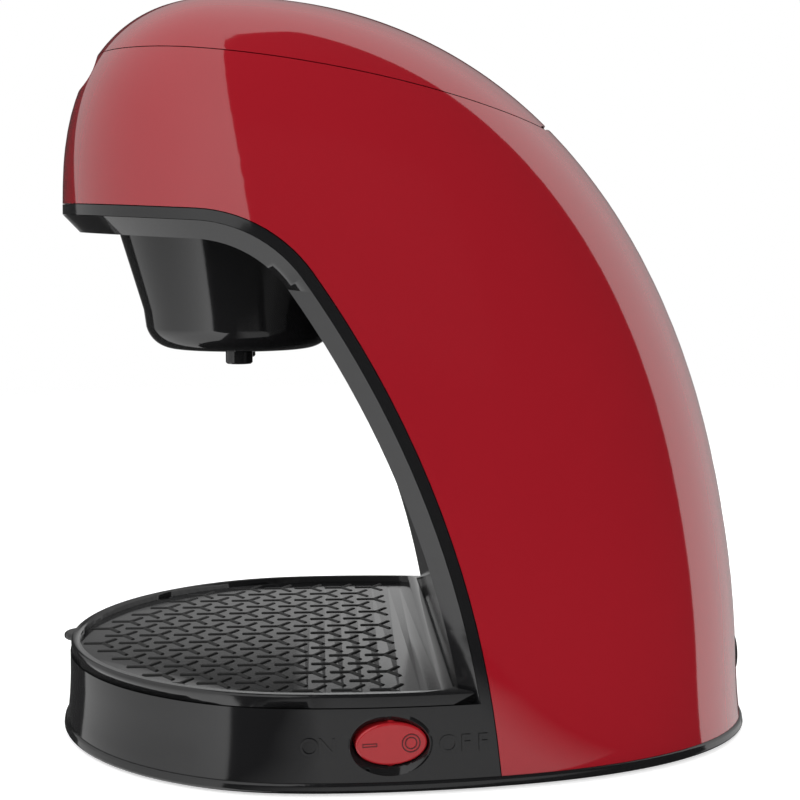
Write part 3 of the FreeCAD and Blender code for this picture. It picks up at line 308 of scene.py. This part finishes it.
def turn_profile(profile, segments, x, y):
    """Turns an open profile of (radius, height) pairs about an upright axis at x, y."""
    bm = bmesh.new()
    rim = [bm.verts.new((radius, 0, height)) for radius, height in profile]
    edges = [bm.edges.new(pair) for pair in zip(rim, rim[1:])]
    bmesh.ops.spin(bm, geom=rim + edges, cent=(0, 0, 0), axis=(0, 0, 1), angle=2 * math.pi,
                   steps=segments, use_merge=True)
    bmesh.ops.remove_doubles(bm, verts=bm.verts, dist=TURN_GAP)
    bmesh.ops.recalc_face_normals(bm, faces=bm.faces)
    bmesh.ops.translate(bm, verts=bm.verts, vec=(x, y, 0))
    return bm


def lay_on(place, normal):
    """Turn and move that lay a flat drawing upright on a steep surface."""
    along = Vector((0, 0, 1)).cross(normal).normalized()
    turn = Matrix((along, normal.cross(along), normal)).transposed().to_4x4()
    return Matrix.Translation(place) @ turn


# Outside of the moulded body

HALVINGS = 40


def body_measure(points):
    """1 on the moulded body's outside, less inside it."""
    x, y, z = points.T
    level = np.clip(z / BODY_HEIGHT, 0.0, BELOW_TOP)
    rise = np.clip((z - NOSE_START) / (BODY_HEIGHT - NOSE_START), 0.0, BELOW_TOP)
    spread = FLARE * np.exp(-np.clip(z, 0.0, None) / FLARE_HEIGHT)
    front = CROWN_X - FRONT_REACH * (1 - rise ** NOSE_POWER) ** (1 / NOSE_POWER) - spread
    rear = CROWN_X + REAR_REACH * (1 - level ** BACK_POWER) ** (1 / BACK_POWER) + spread
    half = HALF_WIDTH * (1 - level ** SIDE_POWER) ** (1 / SIDE_POWER) + spread
    middle = front + WIDEST_SHARE * (rear - front)
    ahead = x < middle
    power = np.where(ahead, FRONT_PLAN_POWER, REAR_PLAN_POWER)
    length = np.where(ahead, middle - front, rear - middle)
    return (np.abs(x - middle) / length) ** power + (np.abs(y) / half) ** power


def body_slope(points, step=0.05 * MM):
    """Outward slope of the measure at each point."""
    slope = np.empty_like(points)
    for axis in range(3):
        move = np.zeros(3)
        move[axis] = step
        slope[:, axis] = (body_measure(points + move) - body_measure(points - move)) / (2 * step)
    return slope


def flank_at(x, z):
    """Place and outward normal of the near flank."""
    inside, outside = 0.0, HALF_WIDTH + FLARE
    for _ in range(HALVINGS):
        middle = (inside + outside) / 2
        if body_measure(np.array([[x, -middle, z]]))[0] < 1:
            inside = middle
        else:
            outside = middle
    point = np.array([[x, -inside, z]])
    return Vector(point[0]), Vector(body_slope(point)[0]).normalized()


# Moulded pieces that show

MOULDING_ANGLE = 28.0
SKIN_MOULDINGS = {"outer_shell": "housing", "base_housing": "housing", "lid": "lid"}
OTHER_MOULDINGS = {
    "spine_panel": "housing", "base_plate": "housing", "drip_tray": "tray", "switch_body": "housing",
    "switch_rocker": "rocker", "water_tank": "housing", "shower_head": "lid", "lid_liner": "lid",
    "top_deck": "housing",
}


def merged_copy(node):
    """A CAD node's mesh with its loose triangles joined and its round faces smooth."""
    bm = bmesh.new()
    bm.from_mesh(frame["nodes"][node].data)
    bmesh.ops.remove_doubles(bm, verts=bm.verts, dist=FRAME_GAP)
    mesh = close_mesh(node + "_looks", bm)
    smooth_by_angle(mesh, MOULDING_ANGLE)
    return mesh


def vertex_places(mesh):
    """Places of a mesh's vertices, one in each row."""
    places = np.empty(len(mesh.vertices) * 3)
    mesh.vertices.foreach_get("co", places)
    return places.reshape(-1, 3)


def true_skin(mesh, reach=0.4 * MM, agree=0.7):
    """Gives the corners on the outside of the body the body's own normals, so that gloss runs clean."""
    corner_vertex = np.empty(len(mesh.loops), int)
    mesh.loops.foreach_get("vertex_index", corner_vertex)
    places = vertex_places(mesh)[corner_vertex]
    normals = np.array([corner.vector for corner in mesh.corner_normals])
    slope = body_slope(places)
    steep = np.linalg.norm(slope, axis=1, keepdims=True)
    skin = slope / steep
    near = np.abs(body_measure(places) - 1) / steep[:, 0] < reach
    face_normals = np.repeat([face.normal for face in mesh.polygons],
                             [face.loop_total for face in mesh.polygons], axis=0)
    outside = near & (np.sum(face_normals * skin, axis=1) > agree)
    normals[outside] = skin[outside]
    mesh.normals_split_custom_set(normals.tolist())


def dress_mouldings():
    """Smooth copies of the moulded pieces."""
    for node, body in SKIN_MOULDINGS.items():
        mesh = merged_copy(node)
        true_skin(mesh)
        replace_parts(add_piece(node + "_looks", mesh, body, SLOT_OF[node]), node)
    for node, body in OTHER_MOULDINGS.items():
        piece = add_piece(node + "_looks", merged_copy(node), body, SLOT_OF[node])
        flats = piece.modifiers.new("flats", "WEIGHTED_NORMAL")
        flats.keep_sharp = True
        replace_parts(piece, node)


# Lip inside the seams between shell, strip and spine

LIP_BEHIND = 2.0 * MM
LIP_AHEAD = 9.0 * MM
LIP_INSET = 5.5 * MM
LIP_THICKNESS = 0.6 * MM
LIP_RANGE = (36.0 * MM, 146.0 * MM)
LIP_STEP = 4.0 * MM
LIP_ANGLE = 40.0


def seam_places():
    """Front edge of the shell at levels from low to high, as (x, z) seen from the side."""
    mesh = frame["nodes"]["outer_shell"].data
    ends = np.empty(len(mesh.edges) * 2, int)
    mesh.edges.foreach_get("vertices", ends)
    start, end = vertex_places(mesh)[ends.reshape(-1, 2)].transpose(1, 0, 2)
    front = []
    for level in np.arange(*LIP_RANGE, LIP_STEP):
        crossing = (start[:, 2] - level) * (end[:, 2] - level) < 0
        one, other = start[crossing], end[crossing]
        share = (level - one[:, 2]) / (other[:, 2] - one[:, 2])
        front.append((np.min(one[:, 0] + share * (other[:, 0] - one[:, 0])), level))
    return front


def make_seam_lip():
    """Thin dark ribbons behind the seams, one on each flank."""
    bm = bmesh.new()
    seam = seam_places()
    for side in (-1, 1):
        rows = []
        for x, z in seam:
            across = [x + LIP_BEHIND, x - LIP_AHEAD / 2, x - LIP_AHEAD]
            rows.append([(place, side * (-flank_at(place, z)[0].y - LIP_INSET), z) for place in across])
        shape_sheet(bm, rows)
    bmesh.ops.recalc_face_normals(bm, faces=bm.faces)
    bmesh.ops.solidify(bm, geom=bm.faces[:], thickness=LIP_THICKNESS)
    mesh = close_mesh("seam_lip", bm)
    smooth_by_angle(mesh, LIP_ANGLE)
    add_piece("seam_lip", mesh, "housing", "dark_inner")


# Drip tray ribs: rows of small raised Y shapes

RIB_PITCH = 12.2 * MM
RIB_ROW = 10.6 * MM
RIB_ARM = 6.9 * MM
RIB_WIDTH = 1.5 * MM
RIB_HEIGHT = 0.35 * MM
RIB_CHAMFER = 0.33 * MM
RIB_HEADINGS = (180.0, 57.0, -57.0)
TRAY_DEPTH = 2.3 * MM
TRAY_MARGIN = 9.5 * MM
TRAY_REAR_MARGIN = 19.5 * MM
TRAY_FLOOR = tray_high.z - TRAY_DEPTH
LAST_RIB_X = tray_high.x - TRAY_REAR_MARGIN


def add_rib_arm(bm, middle, heading):
    """One bar of a rib, from the middle outwards, its top edges chamfered."""
    made = bmesh.ops.create_cube(bm, size=1.0)["verts"]
    bmesh.ops.scale(bm, verts=made, vec=(RIB_ARM, RIB_WIDTH, 2 * RIB_HEIGHT))
    bmesh.ops.translate(bm, verts=made, vec=(RIB_ARM / 2, 0, 0))
    bmesh.ops.rotate(bm, verts=made, cent=(0, 0, 0), matrix=Matrix.Rotation(heading, 3, "Z"))
    bmesh.ops.translate(bm, verts=made, vec=middle)
    top = [edge for edge in bm.edges if edge.verts[0] in made and edge.verts[1] in made
           and min(edge.verts[0].co.z, edge.verts[1].co.z) > middle.z]
    bmesh.ops.bevel(bm, geom=top, offset=RIB_CHAMFER, segments=1, profile=0.5,
                    affect="EDGES", material=-1)


def inside_tray(x, y):
    """True where a rib stays clear of the tray's rim."""
    out = Vector((x - BASKET_X, y))
    away = out * (1 + TRAY_MARGIN / max(out.length, RIB_WIDTH))
    at_rim = np.array([[BASKET_X + away.x, away.y, TRAY_FLOOR]])
    return body_measure(at_rim)[0] < 1 and x < LAST_RIB_X


def make_tray_ribs():
    """Ribs over the tray's floor, every second row shifted by half a pitch."""
    bm = bmesh.new()
    rows = int(HALF_WIDTH / RIB_ROW)
    columns = int((tray_high.x - tray_low.x) / RIB_PITCH) + 1
    for row in range(-rows, rows + 1):
        shift = RIB_PITCH / 2 if row % 2 else 0.0
        for column in range(columns):
            x = LAST_RIB_X - column * RIB_PITCH - shift
            middle = Vector((x, row * RIB_ROW, TRAY_FLOOR))
            if inside_tray(middle.x, middle.y):
                for heading in RIB_HEADINGS:
                    add_rib_arm(bm, middle, math.radians(heading))
    add_piece("tray_ribs", close_mesh("tray_ribs", bm), "tray", "tray_ribs")


# Brew basket: turned bowl with a rounded bottom and two outlets

BASKET_WALL = 2.0 * MM
BASKET_NECK = 45.0 * MM
BASKET_SHOULDER = (41.2 * MM, 171.0 * MM)
BASKET_WAIST = (33.6 * MM, 145.5 * MM)
BASKET_FLANGE = 2.0 * MM
BASKET_SEGMENTS = 128
BASKET_ANGLE = 32.0
FLANGE_SOFT = 0.3 * MM
BEND_RADIUS = 10.0 * MM
BEND_INSET = 0.5 * MM
BEND_END = -14.0
BEND_STEPS = 14
OUTLET_SPREAD = 16.0 * MM
OUTLET_RADIUS = 4.6 * MM
OUTLET_BORE = 2.6 * MM
OUTLET_LENGTH = 4.5 * MM
OUTLET_SOFT = 0.5 * MM
OUTLET_SEGMENTS = 48


def arc(centre, radius, start, end, count):
    """Points of an arc in a profile, angles in degrees."""
    turns = [math.radians(start + (end - start) * index / count) for index in range(count + 1)]
    return [(centre[0] + radius * math.cos(turn), centre[1] + radius * math.sin(turn)) for turn in turns]


def bowl_profile(floor):
    """Outside and inside of the bowl, from the middle of its floor round the flange and back."""
    top = basket_high.z
    seat = top - BASKET_FLANGE
    flange = (basket_high.x - basket_low.x) / 2
    bend = (BASKET_WAIST[0] - BEND_RADIUS - BEND_INSET, floor + BEND_RADIUS)
    outer = [(0.0, floor)]
    outer += arc(bend, BEND_RADIUS, -90.0, BEND_END, BEND_STEPS)
    outer += [BASKET_WAIST, BASKET_SHOULDER, (BASKET_NECK, seat), (flange - FLANGE_SOFT, seat)]
    outer += [(flange, seat + FLANGE_SOFT), (flange, top - FLANGE_SOFT), (flange - FLANGE_SOFT, top)]
    inner = [(BASKET_NECK - BASKET_WALL, top)]
    inner += [(radius - BASKET_WALL, height) for radius, height in (BASKET_SHOULDER, BASKET_WAIST)]
    inner += arc(bend, BEND_RADIUS - BASKET_WALL, BEND_END, -90.0, BEND_STEPS)
    inner += [(0.0, floor + BASKET_WALL)]
    return outer + inner


def outlet_profile(floor):
    """Short spout, its rim softened, rooted in the bowl's floor."""
    low = floor - OUTLET_LENGTH
    root = floor + BASKET_WALL / 2
    return [(OUTLET_BORE, root), (OUTLET_BORE, low + OUTLET_SOFT), (OUTLET_BORE + OUTLET_SOFT, low),
            (OUTLET_RADIUS - OUTLET_SOFT, low), (OUTLET_RADIUS, low + OUTLET_SOFT),
            (OUTLET_RADIUS, root), (OUTLET_BORE, root)]


def make_basket():
    """Bowl and outlets in one piece."""
    floor = basket_low.z + OUTLET_LENGTH
    bm = turn_profile(bowl_profile(floor), BASKET_SEGMENTS, BASKET_X, 0.0)
    for side in (-1, 1):
        spout = turn_profile(outlet_profile(floor), OUTLET_SEGMENTS, BASKET_X, side * OUTLET_SPREAD)
        join_mesh(bm, close_mesh("spout", spout))
    mesh = close_mesh("basket_looks", bm)
    smooth_by_angle(mesh, BASKET_ANGLE)
    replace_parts(add_piece("basket_looks", mesh, "basket", "black_shell"), "filter_basket")


# Marks of the switch

MARK_WIDTH = 0.35 * MM
MARK_HEIGHT = 0.16 * MM
MARK_REACH = 6.4 * MM
BAR_LENGTH = 4.6 * MM
BAR_HEIGHT = 1.1 * MM
RING_RADII = (2.6 * MM, 1.6 * MM)
RING_SEGMENTS = 48
RAY_ROOM = 3.0 * MM


def add_flat_rings(bm):
    """Thin flat rings."""
    for radius in RING_RADII:
        made = bmesh.ops.create_circle(bm, segments=RING_SEGMENTS, radius=radius, cap_ends=False)["verts"]
        rim = list({edge for vert in made for edge in vert.link_edges})
        wide = bmesh.ops.extrude_edge_only(bm, edges=rim)["geom"]
        outer = [item for item in wide if isinstance(item, bmesh.types.BMVert)]
        share = 1 + MARK_WIDTH / radius
        bmesh.ops.scale(bm, verts=outer, vec=(share, share, 1.0))


def add_flat_bar(bm):
    """Thin flat outline of a bar."""
    made = bmesh.ops.create_grid(bm, x_segments=1, y_segments=1, size=0.5)["verts"]
    bmesh.ops.scale(bm, verts=made, vec=(BAR_LENGTH, BAR_HEIGHT, 1.0))
    middle = list({face for vert in made for face in vert.link_faces})
    bmesh.ops.inset_region(bm, faces=middle, thickness=MARK_WIDTH, use_boundary=True)
    bmesh.ops.delete(bm, geom=middle, context="FACES_ONLY")


def rocker_face(x):
    """Place and slope of the rocker's face, straight in from the side."""
    start = Vector((x, rocker_low.y - RAY_ROOM, ROCKER_MIDDLE.z))
    bm = bmesh.new()
    bm.from_mesh(frame["nodes"]["switch_rocker"].data)
    place, normal, _, _ = BVHTree.FromBMesh(bm).ray_cast(start, Vector((0, 1, 0)))
    bm.free()
    return place, normal


def add_mark(whole, draw, x):
    """Draws one mark flat, raises it and lays it on the rocker's face."""
    bm = bmesh.new()
    draw(bm)
    bmesh.ops.translate(bm, verts=bm.verts, vec=(0, 0, -MARK_HEIGHT))
    raised = bmesh.ops.extrude_face_region(bm, geom=bm.faces[:], use_keep_orig=True)["geom"]
    raised = [item for item in raised if isinstance(item, bmesh.types.BMVert)]
    bmesh.ops.translate(bm, verts=raised, vec=(0, 0, 2 * MARK_HEIGHT))
    bmesh.ops.transform(bm, matrix=lay_on(*rocker_face(x)), verts=bm.verts)
    bmesh.ops.recalc_face_normals(bm, faces=bm.faces)
    join_mesh(whole, close_mesh("mark", bm))


def make_switch_marks():
    """Bar and rings on the rocker's face, on and off."""
    whole = bmesh.new()
    add_mark(whole, add_flat_bar, ROCKER_MIDDLE.x - MARK_REACH)
    add_mark(whole, add_flat_rings, ROCKER_MIDDLE.x + MARK_REACH)
    add_piece("rocker_marks", close_mesh("rocker_marks", whole), "rocker", "mark_ink")


# Words beside the switch

LETTER_HEIGHT = 5.6 * MM
LETTER_STEP = 5.4 * MM
LETTER_RELIEF = 0.28 * MM
FONT_SHARE = 1.38
WORD_LEVEL = 15.0 * MM
WORD_STARTS = {"OFF": 8.4 * MM, "ON": -34.5 * MM}


def letter_mesh(letter):
    """One letter lying flat about its own middle."""
    outline = bpy.data.curves.new(letter, "FONT")
    outline.body = letter
    outline.size = LETTER_HEIGHT * FONT_SHARE
    outline.align_x, outline.align_y = "CENTER", "CENTER"
    outline.extrude = LETTER_RELIEF
    text = bpy.data.objects.new(letter, outline)
    bpy.context.scene.collection.objects.link(text)
    mesh = bpy.data.meshes.new_from_object(text.evaluated_get(bpy.context.evaluated_depsgraph_get()))
    bpy.data.objects.remove(text)
    return mesh


def make_words():
    """Raised words on the flank of the base, each letter at its own place on the curve."""
    for word, start_x in WORD_STARTS.items():
        whole = bmesh.new()
        for index, letter in enumerate(word):
            mesh = letter_mesh(letter)
            mesh.transform(lay_on(*flank_at(start_x + index * LETTER_STEP, WORD_LEVEL)))
            join_mesh(whole, mesh)
        bmesh.ops.remove_doubles(whole, verts=whole.verts, dist=FRAME_GAP)
        name = "letters_" + word.lower()
        add_piece(name, close_mesh(name, whole), "housing", "black_shell")


# Floor and surround

FLOOR_HALF = 1.5
FLOOR_TONE = 0.86
FLOOR_ROUGHNESS = 0.7
FLOOR_LIFT = 0.55
FLOOR_FADE = (0.1, 0.75)
ROOM_LEVEL = 0.05


def make_floor():
    """Pale floor that fades into the white surround."""
    bm = bmesh.new()
    bmesh.ops.create_grid(bm, x_segments=1, y_segments=1, size=FLOOR_HALF)
    mesh = close_mesh("floor", bm)
    floor = bpy.data.objects.new("floor", mesh)
    floor.visible_glossy = False
    bpy.context.scene.collection.objects.link(floor)
    material = bpy.data.materials.new("floor_white")
    material.use_nodes = True
    tree = material.node_tree
    shader = tree.nodes["Principled BSDF"]
    shader.inputs["Base Color"].default_value = (FLOOR_TONE, FLOOR_TONE, FLOOR_TONE, 1.0)
    shader.inputs["Roughness"].default_value = FLOOR_ROUGHNESS
    shader.inputs["Emission Color"].default_value = (1.0, 1.0, 1.0, 1.0)
    ray = add_node(tree, "ShaderNodeLightPath")
    seen = add_node(tree, "ShaderNodeMath", operation="MULTIPLY")
    seen.inputs[1].default_value = FLOOR_LIFT
    place = add_node(tree, "ShaderNodeTexCoord")
    shrink = add_node(tree, "ShaderNodeMapping")
    shrink.inputs["Scale"].default_value = (1 / FLOOR_HALF,) * 3
    fade = add_node(tree, "ShaderNodeTexGradient", gradient_type="SPHERICAL")
    soften = add_node(tree, "ShaderNodeMapRange", interpolation_type="SMOOTHSTEP")
    soften.inputs["From Min"].default_value, soften.inputs["From Max"].default_value = FLOOR_FADE
    clear = add_node(tree, "ShaderNodeBsdfTransparent")
    blend = add_node(tree, "ShaderNodeMixShader")
    link = tree.links.new
    link(ray.outputs["Is Camera Ray"], seen.inputs[0])
    link(seen.outputs["Value"], shader.inputs["Emission Strength"])
    link(place.outputs["Object"], shrink.inputs["Vector"])
    link(shrink.outputs["Vector"], fade.inputs["Vector"])
    link(fade.outputs["Fac"], soften.inputs["Value"])
    link(soften.outputs["Result"], blend.inputs["Fac"])
    link(clear.outputs["BSDF"], blend.inputs[1])
    link(shader.outputs["BSDF"], blend.inputs[2])
    link(blend.outputs["Shader"], tree.nodes["Material Output"].inputs["Surface"])
    mesh.materials.append(material)


def make_world():
    """White to the camera, dim to everything else."""
    world = bpy.data.worlds.new("studio")
    bpy.context.scene.world = world
    world.use_nodes = True
    tree = world.node_tree
    tree.nodes.clear()
    end = add_node(tree, "ShaderNodeOutputWorld")
    backdrop = add_node(tree, "ShaderNodeBackground")
    backdrop.inputs["Color"].default_value = (1.0, 1.0, 1.0, 1.0)
    room = add_node(tree, "ShaderNodeBackground")
    room.inputs["Color"].default_value = (ROOM_LEVEL, ROOM_LEVEL, ROOM_LEVEL, 1.0)
    choose = add_node(tree, "ShaderNodeMixShader")
    ray = add_node(tree, "ShaderNodeLightPath")
    link = tree.links.new
    link(ray.outputs["Is Camera Ray"], choose.inputs["Fac"])
    link(room.outputs["Background"], choose.inputs[1])
    link(backdrop.outputs["Background"], choose.inputs[2])
    link(choose.outputs["Shader"], end.inputs["Surface"])


# Reflectors that only glossy surfaces see

ARCH_RADIUS = 1.15
ARCH_CENTRE = 0.12
ARCH_TURNS = range(-30, 252, 2)
ARCH_STEPS = 24
ARCH_CROWDING = 1.5

# By turn round the object, in degrees from the back over the top to the nose: the arch's near and far
# edge, the passage from the back's light levels to the nose's, and the gain of the low part
ARCH_NEAR = ((0, 60, 85, 95, 105, 120, 140, 180), (0.0, 0.12, 0.1, -0.1, -1.5, -2.8, -2.4, -1.3))
ARCH_FAR = ((0, 100, 120, 180), (3.0, 3.0, 2.4, 0.85))
NOSE_SHARE = ((40, 150), (0.0, 1.0))
LOW_GAIN = ((195, 215), (1.0, 1.7))

# By distance across the arch: its light levels
BACK_LEVELS = ((0.0, 0.6, 1.3, 2.4), (1.6, 1.1, 0.6, 0.3))
NOSE_LEVELS = ((-1.2, 0.0, 0.7, 1.4, 3.0), (1.3, 0.9, 0.7, 0.5, 0.3))

# Upright sheet beyond the tray
TRAY_SHEET_X = (-0.3, -0.12, 0.06)
TRAY_SHEET_Y = 0.5
TRAY_SHEET_Z = (0.02, 0.17)
TRAY_SHEET_LEVELS = (0.05, 0.5, 1.0)

# Flat sheet on the floor before the switch
FLOOR_SHEET_X = (-0.075, -0.03, 0.06, 0.10)
FLOOR_SHEET_Y = (-0.32, -0.2, -0.1)
FLOOR_SHEET_Z = 0.5 * MM
FLOOR_SHEET_LEVELS = (0.0, 0.75, 0.7, 0.0)
FLOOR_SHEET_FADE = (0.0, 1.0, 1.0)


def make_glow():
    """Finish of the reflector sheets: each lights by the level stored at its corners."""
    material = bpy.data.materials.new("reflector_glow")
    material.use_nodes = True
    tree = material.node_tree
    tree.nodes.clear()
    level = add_node(tree, "ShaderNodeAttribute", attribute_name="level")
    glow = add_node(tree, "ShaderNodeEmission")
    end = add_node(tree, "ShaderNodeOutputMaterial")
    tree.links.new(level.outputs["Fac"], glow.inputs["Strength"])
    tree.links.new(glow.outputs["Emission"], end.inputs["Surface"])
    return material


def add_reflector(name, rows, levels, material):
    """Sheet through rows of points, with a light level for each point."""
    bm = bmesh.new()
    level = bm.verts.layers.float.new("level")
    made = shape_sheet(bm, rows)
    for vert, value in zip(made, [value for row in levels for value in row]):
        vert[level] = value
    mesh = close_mesh(name, bm)
    mesh.materials.append(material)
    sheet = bpy.data.objects.new(name, mesh)
    bpy.context.scene.collection.objects.link(sheet)
    sheet.visible_camera = sheet.visible_diffuse = sheet.visible_shadow = False
    sheet.visible_transmission = sheet.visible_volume_scatter = False


def between(value, places, values):
    """Value on a broken line through the given places."""
    return float(np.interp(value, places, values))


def arch_level(turn, y):
    """Light level of the arch at a turn and a distance across."""
    share = between(turn, *NOSE_SHARE)
    nose = between(y, *NOSE_LEVELS) * between(turn, *LOW_GAIN)
    return between(y, *BACK_LEVELS) * (1 - share) + nose * share


def make_reflectors():
    """Arch over the object, a sheet beyond the tray and one on the floor before the switch."""
    material = make_glow()
    rows, levels = [], []
    for turn in ARCH_TURNS:
        near, far = between(turn, *ARCH_NEAR), between(turn, *ARCH_FAR)
        across = [near + (far - near) * (step / ARCH_STEPS) ** ARCH_CROWDING
                  for step in range(ARCH_STEPS + 1)]
        x = ARCH_RADIUS * math.cos(math.radians(turn))
        z = ARCH_CENTRE + ARCH_RADIUS * math.sin(math.radians(turn))
        rows.append([(x, y, z) for y in across])
        levels.append([arch_level(turn, y) for y in across])
    add_reflector("arch_reflector", rows, levels, material)
    rows = [[(x, TRAY_SHEET_Y, z) for x in TRAY_SHEET_X] for z in TRAY_SHEET_Z]
    add_reflector("tray_reflector", rows, [TRAY_SHEET_LEVELS for _ in rows], material)
    rows = [[(x, y, FLOOR_SHEET_Z) for x in FLOOR_SHEET_X] for y in FLOOR_SHEET_Y]
    levels = [[fade * level for level in FLOOR_SHEET_LEVELS] for fade in FLOOR_SHEET_FADE]
    add_reflector("floor_reflector", rows, levels, material)


# Lamps and camera

LAMP_AIM = Vector((0.0, 0.0, 0.12))
LAMPS = {
    "left_fill": {"place": (-1.2, -0.3, 0.8), "width": 1.6, "height": 1.4, "power": 12.0},
    "top_fill": {"place": (-0.1, 0.2, 1.5), "width": 1.5, "height": 1.2, "power": 12.0},
    "front_fill": {"place": (0.3, -1.7, 0.9), "width": 1.6, "height": 1.2, "power": 28.0},
    "back_fill": {"place": (0.9, 1.2, 0.8), "width": 1.2, "height": 1.2, "power": 10.0},
}
CAMERA_PLACE = (-35.4 * MM, -571.6 * MM, 171.4 * MM)
CAMERA_DIP = 5.831
CAMERA_TURN = -3.404
CAMERA_LENS = 72.9
CAMERA_SENSOR = 36.0
CAMERA_NEAR = 0.02


def add_softbox(name, place, width, height, power):
    """Lamp aimed at the object, kept out of its gloss."""
    lamp = bpy.data.lights.new(name, "AREA")
    lamp.shape = "RECTANGLE"
    lamp.size, lamp.size_y = width, height
    lamp.energy = power
    box = bpy.data.objects.new(name, lamp)
    box.location = place
    box.rotation_euler = (LAMP_AIM - Vector(place)).to_track_quat("-Z", "Y").to_euler()
    box.visible_glossy = False
    bpy.context.scene.collection.objects.link(box)


def make_lights():
    """Soft fill from all round; the glints come from the reflectors alone."""
    for name, lamp in LAMPS.items():
        add_softbox(name, **lamp)


def make_camera():
    """The photograph's viewpoint, for a square frame."""
    camera = bpy.data.cameras.new("photo_view")
    camera.sensor_width = CAMERA_SENSOR
    camera.lens = CAMERA_LENS
    camera.clip_start = CAMERA_NEAR
    view = bpy.data.objects.new("photo_view", camera)
    view.location = CAMERA_PLACE
    view.rotation_euler = (math.radians(90.0 - CAMERA_DIP), 0.0, math.radians(CAMERA_TURN))
    bpy.context.scene.collection.objects.link(view)
    bpy.context.scene.camera = view


finish_frame()
dress_mouldings()
make_seam_lip()
make_tray_ribs()
make_basket()
make_switch_marks()
make_words()
make_floor()
make_world()
make_reflectors()
make_lights()
make_camera()
bpy.context.scene.view_settings.view_transform = "Standard"
